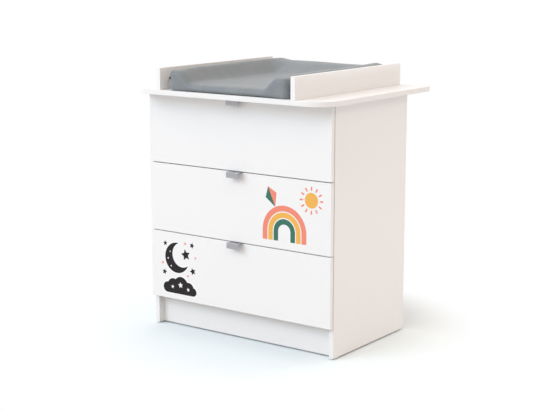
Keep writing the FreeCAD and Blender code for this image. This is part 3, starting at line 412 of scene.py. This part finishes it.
def mesh_from(name, shape, smooth=True):
    """A mesh from a bmesh, with its normals made to point outwards."""
    bmesh.ops.recalc_face_normals(shape, faces=shape.faces)
    mesh = bpy.data.meshes.new(name)
    shape.to_mesh(mesh)
    shape.free()
    mesh.polygons.foreach_set("use_smooth", [smooth] * len(mesh.polygons))
    return mesh


def apply_modifiers(piece):
    """The piece's mesh becomes what its modifiers make of it."""
    bpy.context.view_layer.update()
    graph = bpy.context.evaluated_depsgraph_get()
    made = bpy.data.meshes.new_from_object(piece.evaluated_get(graph))
    piece.modifiers.clear()
    before = piece.data
    piece.data = made
    bpy.data.meshes.remove(before)


# ---------------------------------------------------------------- motifs on the drawer fronts
FILM = 0.12 * MM
WELD = 0.001 * MM
ROUND_STEPS = 72
STAR_POINTS = 5
STAR_WAIST = 0.46
BLUNTING = 0.12


def soften(corners):
    """Cuts the corners of a closed outline, so that its points are a little blunt."""
    softer = []
    for here, following in zip(corners, corners[1:] + corners[:1]):
        for share in (BLUNTING, 1 - BLUNTING):
            softer.append(tuple(one + (other - one) * share
                                for one, other in zip(here, following)))
    return softer


def arc(centre, radius, start, end):
    angles = [math.radians(start + (end - start) * step / ROUND_STEPS)
              for step in range(ROUND_STEPS + 1)]
    return [(centre[0] + radius * math.cos(angle), centre[1] + radius * math.sin(angle))
            for angle in angles]


def turned(points, centre, degrees):
    spin = Matrix.Rotation(math.radians(degrees), 2)
    return [tuple(Vector(centre) + spin @ (Vector(point) - Vector(centre))) for point in points]


def fan(outline):
    """A shape whose whole outline is seen from its middle."""
    closed = outline + outline[:1]
    middle = tuple(sum(parts) / len(outline) for parts in zip(*outline))
    return closed, [middle] * len(closed)


def disc(centre, radius):
    return arc(centre, radius, 0, 360), [centre] * (ROUND_STEPS + 1)


def star(centre, radius, turn):
    """A five-pointed star, turned by some degrees."""
    corners = []
    for step in range(2 * STAR_POINTS):
        angle = math.radians(90 + turn + 180 / STAR_POINTS * step)
        reach = radius * STAR_WAIST if step % 2 else radius
        corners.append((centre[0] + reach * math.cos(angle),
                        centre[1] + reach * math.sin(angle)))
    return fan(soften(corners))


def crescent(centre, radius, bite_centre, bite_radius):
    """A disc less a second disc that overlaps it."""
    across, up = bite_centre[0] - centre[0], bite_centre[1] - centre[1]
    apart = math.hypot(across, up)
    heading = math.degrees(math.atan2(up, across))
    outer = math.degrees(math.acos((apart ** 2 + radius ** 2 - bite_radius ** 2)
                                   / (2 * apart * radius)))
    inner = math.degrees(math.acos((apart ** 2 + bite_radius ** 2 - radius ** 2)
                                   / (2 * apart * bite_radius)))
    return (arc(centre, radius, heading + outer, heading + 360 - outer),
            arc(bite_centre, bite_radius, heading + 180 - inner, heading + 180 + inner))


def cloud(puffs):
    """Overlapping (x, z, radius) puffs on a level foot, on which the first and last one stand."""
    first, last = puffs[0], puffs[-1]
    left, right = first[0] - first[2], last[0] + last[2]
    foot = first[1] - first[2]
    above, below = [], []
    for step in range(ROUND_STEPS * 2 + 1):
        share = 0.5 - 0.5 * math.cos(math.pi * step / (ROUND_STEPS * 2))
        at = left + (right - left) * share
        rises = [(z, math.sqrt(max(radius ** 2 - (at - x) ** 2, 0)))
                 for x, z, radius in puffs if abs(at - x) <= radius + WELD]
        above.append((at, max(z + rise for z, rise in rises)))
        end = first if at < first[0] else last
        outside = at < first[0] or at > last[0]
        drop = math.sqrt(max(end[2] ** 2 - (at - end[0]) ** 2, 0)) if outside else end[1] - foot
        below.append((at, end[1] - drop))
    return above, below


def bow(centre, inner, outer, legs):
    """An arch with straight legs."""
    return tuple([(centre[0] + radius, centre[1] - legs)] + arc(centre, radius, 0, 180)
                 + [(centre[0] - radius, centre[1] - legs)] for radius in (outer, inner))


def film(name, drawer, shapes, level, material):
    """Flat film on a drawer front, from shapes in millimetres, x and z above the front's foot.

    A shape is two lines of as many points each, and the film spans them.
    """
    low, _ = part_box(f"drawer_{drawer}_front")
    back_y = low.y - FILM * level / 2
    sheet = bmesh.new()
    for lines in shapes:
        one, other = [[sheet.verts.new((x * MM, back_y - FILM, low.z + z * MM))
                       for x, z in line] for line in lines]
        for index in range(len(one) - 1):
            sheet.faces.new((one[index], one[index + 1], other[index + 1], other[index]))
    bmesh.ops.remove_doubles(sheet, verts=sheet.verts, dist=WELD)
    backs = bmesh.ops.extrude_face_region(sheet, geom=sheet.faces[:], use_keep_orig=True)
    moved = [item for item in backs["geom"] if isinstance(item, bmesh.types.BMVert)]
    bmesh.ops.translate(sheet, verts=moved, vec=(0, FILM, 0))
    new_piece(name, mesh_from(name, sheet, smooth=False), material, f"drawer_{drawer}")


INK = vinyl_look("film_night", linear(20, 11, 15))
PAPER = vinyl_look("film_white", linear(244, 244, 243))
BLUSH = vinyl_look("film_blush", linear(236, 160, 150))
CORAL = vinyl_look("film_coral", linear(236, 138, 116))
GREEN = vinyl_look("film_green", linear(54, 112, 94))
MUSTARD = vinyl_look("film_mustard", linear(236, 178, 84))

# millimetres from the front's middle and foot: centres, radii and turns in degrees
MOON = ((-277, 158), 57, (-253, 171), 46)
BORDER = 3.5
STAR_BORDER = BORDER * 1.6
STARS = (((-236, 174), 23, 12), ((-338, 98), 12, -8), ((-203, 116), 15, 20),
         ((-333, 207), 11, 5), ((-206, 213), 12, -15))
PUFFS = ((-324, 42, 20), (-296, 50, 28), (-260, 55, 33), (-224, 46, 25), (-203, 38, 16))
film("night_border", "bottom",
     [crescent(MOON[0], MOON[1] + BORDER, MOON[2], MOON[3] - BORDER),
      cloud([(x, z, radius + BORDER) for x, z, radius in PUFFS])]
     + [star(centre, radius + STAR_BORDER, turn) for centre, radius, turn in STARS], 0, PAPER)
film("night_motifs", "bottom",
     [crescent(*MOON), cloud(PUFFS)] + [star(*item) for item in STARS], 1, INK)
film("night_sparks", "bottom",
     [star((-262, 56), 12, 8), star((-300, 46), 8, -12), star((-226, 44), 8, 15),
      disc((-320, 152), 3), disc((-310, 178), 2.4), disc((-306, 124), 2.8)], 3, PAPER)
film("night_dots", "bottom",
     [disc((-346, 132), 5), disc((-226, 96), 4.5), disc((-238, 216), 5), disc((-190, 168), 4)],
     1, BLUSH)

ARCH = (206, 62)
LEGS = 34
BOWS = ((72, 92), (49, 68), (26, 45))
SUN = (318, 184)
SUN_RADIUS = 27
RAY = [(-2.6, 34), (2.6, 34), (3.2, 48), (-3.2, 48)]
RAY_COUNT = 12
KITE = (150, 186)
KITE_TURN = 24
KITE_TOP, KITE_FOOT, KITE_SIDE = 32, -44, 25


def kite_half(side):
    corners = [(KITE[0], KITE[1] + KITE_TOP), (KITE[0], KITE[1] + KITE_FOOT),
               (KITE[0] + side * KITE_SIDE, KITE[1])]
    return fan(turned(corners, KITE, KITE_TURN))


rays = [fan(turned(soften([(SUN[0] + x, SUN[1] + z) for x, z in RAY]), SUN,
                   360 / RAY_COUNT * step)) for step in range(RAY_COUNT)]
film("day_coral", "middle", [bow(ARCH, *BOWS[0], LEGS), kite_half(1)] + rays, 1, CORAL)
film("day_mustard", "middle", [bow(ARCH, *BOWS[1], LEGS), disc(SUN, SUN_RADIUS)], 1, MUSTARD)
film("day_green", "middle", [bow(ARCH, *BOWS[2], LEGS), kite_half(-1)], 1, GREEN)


# ---------------------------------------------------------------- changing mat
CLOTH_FRAMES = 20
CLOTH_QUALITY = 5
CLOTH_MASS = 0.3
CLOTH_STRETCH = 12
CLOTH_BENDING = 0.6
CLOTH_PRESSURE = 4
VOXEL = 6 * MM
SWELL = 3.5 * MM
CLEARANCE = 1.5 * MM
BOARD_GAP = 0.2 * MM
SMOOTHING = 0.5
SMOOTH_ROUNDS = 2

# where the foam settles: heights are above the board, the other places along X and Y
TOP_HEIGHTS = (15 * MM, 60 * MM)
BACK_PLACES = (0.12, 0.3)
BACK_SAG, SAG_PLACES = 3.5 * MM, (-0.1, 0.1)
BUMP_HEIGHT, BUMP_AT, BUMP_WIDTH = 7 * MM, 0.225, 0.03
LEFT_RISE, LEFT_RISE_FROM = 5 * MM, 0.16
RIGHT_RISE, RIGHT_RISE_FROM = 3 * MM, 0.2
WAVE, WAVE_SCALE, WAVE_HEIGHTS = 1.1 * MM, 7, (8 * MM, 24 * MM)
TUCK, FRONT_TUCK, FRONT_PLACES = 2, 7, (0.2, 0.33)
TUCK_FROM, TUCK_MARGIN = 0.23, 6 * MM

mat_low, mat_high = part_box("mat_cover")
board_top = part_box("changing_top")[1].z


def smooth_step(value, low, high):
    share = min(max((value - low) / (high - low), 0), 1)
    return share * share * (3 - 2 * share)


def mat_settling(place):
    """How much higher the foam stands than its plain form: uneven ridges and a sagging back."""
    height = place.z - board_top
    top = smooth_step(height, *TOP_HEIGHTS)
    behind = smooth_step(place.y, *BACK_PLACES)
    back = -BACK_SAG * smooth_step(place.x, *SAG_PLACES)
    bump = BUMP_HEIGHT * math.exp(-((place.x - BUMP_AT) / BUMP_WIDTH) ** 2)
    left = LEFT_RISE * smooth_step(-place.x, LEFT_RISE_FROM, -mat_low.x)
    right = RIGHT_RISE * smooth_step(place.x, RIGHT_RISE_FROM, mat_high.x) * (1 - behind)
    wave = WAVE * noise.noise(place * WAVE_SCALE) * smooth_step(height, *WAVE_HEIGHTS)
    return top * (behind * (back + bump) + left + right) + wave


def mat_tuck(place):
    """How far the mat's right side stands back from the guard, mostly at the front corner."""
    front = smooth_step(-place.y, *FRONT_PLACES)
    return (TUCK + FRONT_TUCK * front) * MM * smooth_step(place.x, TUCK_FROM,
                                                          mat_high.x - TUCK_MARGIN)


def inflate(piece):
    """Swells the closed mesh like a filled cover and keeps every point near where it was."""
    start = [vertex.co.copy() for vertex in piece.data.vertices]
    cloth = piece.modifiers.new("cloth", "CLOTH")
    cloth.settings.quality = CLOTH_QUALITY
    cloth.settings.mass = CLOTH_MASS
    cloth.settings.tension_stiffness = CLOTH_STRETCH
    cloth.settings.compression_stiffness = CLOTH_STRETCH
    cloth.settings.bending_stiffness = CLOTH_BENDING
    cloth.settings.use_pressure = True
    cloth.settings.uniform_pressure_force = CLOTH_PRESSURE
    cloth.settings.effector_weights.gravity = 0
    for step in range(1, CLOTH_FRAMES + 1):
        bpy.context.scene.frame_set(step)
    apply_modifiers(piece)
    bpy.context.scene.frame_set(1)
    for vertex, before in zip(piece.data.vertices, start):
        shift = vertex.co - before
        if shift.length > SWELL:
            vertex.co = before + shift.normalized() * SWELL


def rest_on_board(mesh):
    """Flattens the mat where it lies on the board, and keeps it clear of its neighbours."""
    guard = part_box("side_guard_right")[0].x - CLEARANCE
    for vertex in mesh.vertices:
        vertex.co.z = max(vertex.co.z, board_top + BOARD_GAP)
        vertex.co.x = min(vertex.co.x, guard)
        vertex.co.y = min(max(vertex.co.y, mat_low.y - CLEARANCE), mat_high.y + CLEARANCE)


def relax(mesh):
    shape = bmesh.new()
    shape.from_mesh(mesh)
    for _ in range(SMOOTH_ROUNDS):
        bmesh.ops.smooth_vert(shape, verts=shape.verts, factor=SMOOTHING, use_axis_x=True,
                              use_axis_y=True, use_axis_z=True)
    shape.to_mesh(mesh)
    shape.free()


def make_mat():
    """The filled mat: the foam core's form, remeshed, settled, swollen and laid on the board."""
    piece = new_piece("mat", nodes["mat_foam_core"].data.copy(), MAT_FABRIC, "mat")
    remesh = piece.modifiers.new("remesh", "REMESH")
    remesh.mode = "VOXEL"
    remesh.voxel_size = VOXEL
    apply_modifiers(piece)
    for vertex in piece.data.vertices:
        vertex.co.z += mat_settling(vertex.co)
        vertex.co.x -= mat_tuck(vertex.co)
    relax(piece.data)
    inflate(piece)
    relax(piece.data)
    rest_on_board(piece.data)
    piece.modifiers.new("subdivision", "SUBSURF").levels = 1
    apply_modifiers(piece)
    rest_on_board(piece.data)
    piece.data.polygons.foreach_set("use_smooth", [True] * len(piece.data.polygons))
    piece.data.materials.clear()
    piece.data.materials.append(MAT_FABRIC)
    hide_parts("mat_cover", "mat_foam_core")
    return piece


MAT_FABRIC = mat_look("mat_fabric", linear(123, 129, 133), linear(130, 136, 139))
mat = make_mat()


# ---------------------------------------------------------------- the mat's seams, stitches and zip
MAT_CORNER = 18 * MM
CORNER_PARTS = 6
ROUND_PARTS = 8
SEAM_STEP = 2 * MM
SEAM_RADIUS = 0.8 * MM
SOLE_SEAM = 5 * MM
PINCH_REACH = 9 * MM
PINCH_DEPTH = 1.1 * MM
PUCKER_DEPTH = 0.7 * MM
PUCKERS_PER_METRE = 75
STITCH = 3.2 * MM
STITCH_PITCH = 4.6 * MM
STITCH_RADIUS = 0.32 * MM
TOPSTITCH_DROP = 8 * MM
ZIP_HEIGHT = 44 * MM
ZIP_START, ZIP_END = 130, 219
TAPE_EDGES = ((-7, -1.2), (1.2, 7))
TAPE_THICKNESS = 0.5 * MM
TOOTH_PITCH = 1.6 * MM
TOOTH_SIZE = (0.9 * MM, 2.6 * MM, 1.0 * MM)
TOOTH_SHIFT = 0.8 * MM
SLIDER_SIZE = (10 * MM, 8 * MM, 3 * MM)
BRIDGE_SIZE = (6 * MM, 2.2 * MM, 1.8 * MM)
TAB_SIZE = (5 * MM, 17 * MM, 1.1 * MM)
TAB_DROP = 8 * MM
RAY_START = 0.1
BLOCK_RINGS = ((-1, 0.94), (-0.6, 1), (0.5, 1), (1, 0.8))


def mat_outline(step):
    """Places round the mat, seen from above, each with the way outwards."""
    centre = (mat_low + mat_high) / 2
    reach = (mat_high - mat_low) / 2
    corners = []
    for start in range(0, 360, 90):
        diagonal = math.radians(start + 45)
        pivot = Vector((centre.x + math.copysign(reach.x - MAT_CORNER, math.cos(diagonal)),
                        centre.y + math.copysign(reach.y - MAT_CORNER, math.sin(diagonal)), 0))
        for part in range(CORNER_PARTS + 1):
            angle = math.radians(start + 90 * part / CORNER_PARTS)
            out = Vector((math.cos(angle), math.sin(angle), 0))
            corners.append((pivot + out * MAT_CORNER, out))
    places = []
    for (place, out), (following, next_out) in zip(corners, corners[1:] + corners[:1]):
        count = max(round((following - place).length / step), 1)
        places += [(place.lerp(following, part / count),
                    out.lerp(next_out, part / count).normalized()) for part in range(count)]
    return places


def heading(out):
    """The way outwards as degrees from +X towards +Y, 0 to 360."""
    return math.degrees(math.atan2(out.y, out.x)) % 360


def mat_surface():
    shape = bmesh.new()
    shape.from_mesh(mat.data)
    surface = BVHTree.FromBMesh(shape)
    shape.free()
    return surface


def strike(surface, aim, way):
    """Where a line through a point near the mat first meets it, with the mat's normal there."""
    hit, normal, _, _ = surface.ray_cast(aim - way * RAY_START, way)
    return hit, normal


def upper_line(surface, places, drop=0.0):
    """The mat's upper edge, or a line on its sides that far below it, as points with normals."""
    line = []
    for place, out in places:
        top, _ = strike(surface, place - out * MAT_CORNER + UP * mat_high.z, -UP)
        way = -out if drop else -(out + UP).normalized()
        line.append(strike(surface, place + UP * (top.z - drop), way))
    return line


def level_line(surface, places, height):
    """A line round the mat's sides at a height above the board, as points with normals."""
    return [strike(surface, place + UP * (board_top + height), -out) for place, out in places]


def skin(shape, rings, closed):
    """Adds faces between rings of as many points each; the ends meet or are capped."""
    pairs = list(zip(rings, rings[1:])) + ([(rings[-1], rings[0])] if closed else [])
    count = len(rings[0])
    for one, other in pairs:
        for part in range(count):
            following = (part + 1) % count
            shape.faces.new((one[part], one[following], other[following], other[part]))
    if not closed:
        shape.faces.new(rings[0])
        shape.faces.new(rings[-1])


def bead(shape, line, radius, closed):
    """Adds a round bead along points with normals."""
    rings = []
    last = len(line) - 1
    for index, (place, normal) in enumerate(line):
        before = line[index - 1 if closed else max(index - 1, 0)][0]
        after = line[(index + 1) % len(line) if closed else min(index + 1, last)][0]
        across = (after - before).cross(normal).normalized()
        rise = across.cross(after - before).normalized()
        turns = [2 * math.pi * part / ROUND_PARTS for part in range(ROUND_PARTS)]
        rings.append([shape.verts.new(place + (rise * math.cos(turn) + across * math.sin(turn))
                                      * radius) for turn in turns])
    skin(shape, rings, closed)


def block(shape, middle, along, out, size):
    """Adds a small block, its outer face drawn in on all sides.

    size is its length, height and depth; each ring has a level in its depth and a share of its
    length and height.
    """
    rise = out.cross(along)
    length, height, depth = [part / 2 for part in size]
    rings = [[shape.verts.new(middle + (along * one * length + rise * other * height) * share
                              + out * level * depth)
              for one, other in ((-1, -1), (1, -1), (1, 1), (-1, 1))]
             for level, share in BLOCK_RINGS]
    skin(shape, rings, closed=False)


def pinch(line):
    """Draws the cover in along a seam, with small puckers beside it."""
    seam = KDTree(len(line))
    for index, (place, _) in enumerate(line):
        seam.insert(place, index)
    seam.balance()
    for vertex in mat.data.vertices:
        _, index, distance = seam.find(vertex.co)
        near = 1 - distance / PINCH_REACH
        if near > 0:
            pucker = noise.noise(Vector((index * SEAM_STEP * PUCKERS_PER_METRE, 0, 0)))
            vertex.co -= line[index][1] * near * (PINCH_DEPTH * near + PUCKER_DEPTH * pucker)


def mat_piece(name, shape, material):
    new_piece(name, mesh_from(name, shape), material, "mat")


def make_seams():
    """A closed seam round the mat's upper edge and one round its sole."""
    places = mat_outline(SEAM_STEP)
    surface = mat_surface()
    pinch(upper_line(surface, places))
    pinch(level_line(surface, places, SOLE_SEAM))
    surface = mat_surface()
    seams = bmesh.new()
    bead(seams, upper_line(surface, places), SEAM_RADIUS, closed=True)
    bead(seams, level_line(surface, places, SOLE_SEAM), SEAM_RADIUS, closed=True)
    mat_piece("mat_seams", seams, MAT_FABRIC)


def make_stitches():
    """Stitches on the mat's sides, beside the upper seam."""
    line = upper_line(mat_surface(), mat_outline(STITCH_PITCH), TOPSTITCH_DROP)
    stitches = bmesh.new()
    for (place, normal), (following, _) in zip(line, line[1:] + line[:1]):
        along = (following - place).normalized() * STITCH
        sunk = normal * STITCH_RADIUS
        thread = (place - sunk, place + along / 2 + sunk, place + along - sunk)
        bead(stitches, [(point, normal) for point in thread], STITCH_RADIUS, closed=False)
    mat_piece("mat_stitches", stitches, THREAD)


def zip_places(step):
    """Places from behind the mat's back left corner to round its front left corner."""
    return [(place, out) for place, out in mat_outline(step)
            if ZIP_START <= heading(out) <= ZIP_END]


def make_zip():
    """A coil zip on the mat's left side: two tapes, teeth, and a slider with its tab."""
    surface = mat_surface()
    tapes = bmesh.new()
    for edges in TAPE_EDGES:
        foot, head = [level_line(surface, zip_places(SEAM_STEP), ZIP_HEIGHT + edge * MM)
                      for edge in edges]
        rings = [[tapes.verts.new(place + normal * TAPE_THICKNESS * way)
                  for (place, normal), way in ((low, -1), (low, 1), (high, 1), (high, -1))]
                 for low, high in zip(foot, head)]
        skin(tapes, rings, closed=False)
    mat_piece("mat_zip_tapes", tapes, TAPE)

    places = zip_places(TOOTH_PITCH)
    line = level_line(surface, places, ZIP_HEIGHT)
    teeth = bmesh.new()
    for index, (place, normal) in enumerate(line):
        shift = TOOTH_SHIFT if index % 2 else -TOOTH_SHIFT
        block(teeth, place + normal * TAPE_THICKNESS + UP * shift, UP.cross(normal).normalized(),
              normal, TOOTH_SIZE)
    mat_piece("mat_zip_teeth", teeth, ZIP_PLASTIC)

    out = places[-1][1]
    along = UP.cross(out)
    body = line[-1][0] + out * (TAPE_THICKNESS + SLIDER_SIZE[2] / 2)
    bridge = body + out * (SLIDER_SIZE[2] + BRIDGE_SIZE[2]) / 2
    tab = bridge + out * TAB_SIZE[2] - UP * TAB_DROP
    slider = bmesh.new()
    for middle, size in ((body, SLIDER_SIZE), (bridge, BRIDGE_SIZE), (tab, TAB_SIZE)):
        block(slider, middle, along, out, size)
    mat_piece("mat_zip_slider", slider, ZIP_PLASTIC)


THREAD = woven_look("mat_thread", linear(112, 115, 119))
TAPE = woven_look("zip_tape", linear(92, 95, 99))
ZIP_PLASTIC = moulded_look("zip_plastic", linear(52, 54, 57), roughness=0.34)
make_seams()
make_stitches()
make_zip()


# ---------------------------------------------------------------- floor, light and background
FLOOR_SIZE = 120
FLOOR_BOUNCE = (0.5, 0.5, 0.5, 1)
# painted shade tint: the camera sees the floor near the object blue-grey, less blue to the right,
# so that its shadows come out bluish on the left and warmer on the right
FLOOR_SEEN_SHADE_TINT = (0.79, 0.87, 0.9, 1)
FLOOR_SEEN_SHADE_TINT_RIGHT = (0.85, 0.92, 0.93, 1)
TINT_PLACES = (0.2, 0.5)
WHITE_DISTANCES = (0.48, 0.76)


def seen_directly(tree):
    """1 for what the camera sees, also in a mirror or through glass, and 0 for light's own way."""
    path = tree.nodes.new("ShaderNodeLightPath")
    seen = path.outputs["Is Camera Ray"]
    for output in ("Is Glossy Ray", "Is Transmission Ray"):
        either = tree.nodes.new("ShaderNodeMath")
        either.operation = "MAXIMUM"
        tree.links.new(seen, either.inputs[0])
        tree.links.new(path.outputs[output], either.inputs[1])
        seen = either.outputs[0]
    return seen


def eased(tree, value, low, high):
    """0 below low, 1 above high and a smooth rise between them."""
    node = tree.nodes.new("ShaderNodeMapRange")
    node.interpolation_type = "SMOOTHSTEP"
    node.inputs["From Min"].default_value = low
    node.inputs["From Max"].default_value = high
    tree.links.new(value, node.inputs["Value"])
    return node.outputs[0]


def floor_material():
    """Plain for the light that it throws back; where it's seen, tinted blue-grey near the object as
    painted shade tint, so its shadows come out bluish, less blue to the right, and white further
    off.
    """
    material = bpy.data.materials.new("studio_floor")
    material.use_nodes = True
    tree = material.node_tree
    tree.nodes.clear()
    plain = tree.nodes.new("ShaderNodeBsdfDiffuse")
    plain.inputs["Color"].default_value = FLOOR_BOUNCE
    place = tree.nodes.new("ShaderNodeTexCoord").outputs["Object"]
    across = tree.nodes.new("ShaderNodeSeparateXYZ")
    tree.links.new(place, across.inputs[0])
    # painted shade tint of the seen floor, blue-grey on the left and less blue to the right
    tint = tree.nodes.new("ShaderNodeMix")
    tint.data_type = "RGBA"
    tint.inputs[6].default_value = FLOOR_SEEN_SHADE_TINT
    tint.inputs[7].default_value = FLOOR_SEEN_SHADE_TINT_RIGHT
    tree.links.new(eased(tree, across.outputs["X"], *TINT_PLACES), tint.inputs["Factor"])
    near = tree.nodes.new("ShaderNodeBsdfDiffuse")
    tree.links.new(tint.outputs[2], near.inputs["Color"])
    away = tree.nodes.new("ShaderNodeVectorMath")
    away.operation = "LENGTH"
    tree.links.new(place, away.inputs[0])
    far = tree.nodes.new("ShaderNodeEmission")
    far.inputs["Color"].default_value = WHITE
    seen = tree.nodes.new("ShaderNodeMixShader")
    tree.links.new(eased(tree, away.outputs["Value"], *WHITE_DISTANCES), seen.inputs[0])
    tree.links.new(near.outputs[0], seen.inputs[1])
    tree.links.new(far.outputs[0], seen.inputs[2])
    choice = tree.nodes.new("ShaderNodeMixShader")
    tree.links.new(seen_directly(tree), choice.inputs[0])
    tree.links.new(plain.outputs[0], choice.inputs[1])
    tree.links.new(seen.outputs[0], choice.inputs[2])
    output = tree.nodes.new("ShaderNodeOutputMaterial")
    tree.links.new(choice.outputs[0], output.inputs["Surface"])
    return material


floor_mesh = bpy.data.meshes.new("floor")
edge = FLOOR_SIZE / 2
floor_mesh.from_pydata([(-edge, -edge, 0), (edge, -edge, 0), (edge, edge, 0), (-edge, edge, 0)],
                       [], [(0, 1, 2, 3)])
floor_mesh.materials.append(floor_material())
floor = bpy.data.objects.new("floor", floor_mesh)
bpy.context.scene.collection.objects.link(floor)


SKY = (1.05, 1.05, 1.05, 1)
SKY_RIGHT = (0.55, 0.44, 0.35, 1)
SKY_HIGH, HIGH_RISE = (1.93, 1.72, 1.6, 1), (0.5, 0.7)
SKY_TOP, TOP_RISE = (0.5, 0.47, 0.45, 1), (0.78, 0.92)


def studio_world():
    """Soft light, dimmer from the right and strongest from halfway up; it's seen as white."""
    world =bpy.data.worlds.new("studio")
    world.use_nodes = True
    tree = world.node_tree
    tree.nodes.clear()
    axes = tree.nodes.new("ShaderNodeSeparateXYZ")
    tree.links.new(tree.nodes.new("ShaderNodeTexCoord").outputs["Generated"], axes.inputs[0])
    low_sky = tree.nodes.new("ShaderNodeMix")
    low_sky.data_type = "RGBA"
    low_sky.inputs[6].default_value = SKY
    low_sky.inputs[7].default_value = SKY_RIGHT
    tree.links.new(axes.outputs["X"], low_sky.inputs["Factor"])
    color = low_sky.outputs[2]
    for upper, rise in ((SKY_HIGH, HIGH_RISE), (SKY_TOP, TOP_RISE)):
        sky = tree.nodes.new("ShaderNodeMix")
        sky.data_type = "RGBA"
        sky.inputs[7].default_value = upper
        tree.links.new(eased(tree, axes.outputs["Z"], *rise), sky.inputs["Factor"])
        tree.links.new(color, sky.inputs[6])
        color = sky.outputs[2]
    lit = tree.nodes.new("ShaderNodeBackground")
    tree.links.new(color, lit.inputs["Color"])
    white = tree.nodes.new("ShaderNodeBackground")
    white.inputs["Color"].default_value = WHITE
    mix = tree.nodes.new("ShaderNodeMixShader")
    tree.links.new(seen_directly(tree), mix.inputs[0])
    tree.links.new(lit.outputs[0], mix.inputs[1])
    tree.links.new(white.outputs[0], mix.inputs[2])
    output = tree.nodes.new("ShaderNodeOutputWorld")
    tree.links.new(mix.outputs[0], output.inputs["Surface"])
    return world


bpy.context.scene.world = studio_world()


def lamp(name, at, aim, width, height, power, color):
    data = bpy.data.lights.new(name, "AREA")
    data.shape = "RECTANGLE"
    data.size = width
    data.size_y = height
    data.energy = power
    data.color = color
    light = bpy.data.objects.new(name, data)
    light.location = at
    light.rotation_euler = (Vector(aim) - Vector(at)).to_track_quat("-Z", "Y").to_euler()
    bpy.context.scene.collection.objects.link(light)


lamp("key", at=(-6.8, -12.8, 8.8), aim=(0, -0.27, 0.3), width=9.5, height=7.5, power=990,
     color=(0.66, 0.83, 1.0))
lamp("low_side", at=(2.0, 0.5, 0.12), aim=(0.4, 0, 0.05), width=1.8, height=0.2, power=5.4,
     color=(0.94, 0.91, 0.95))
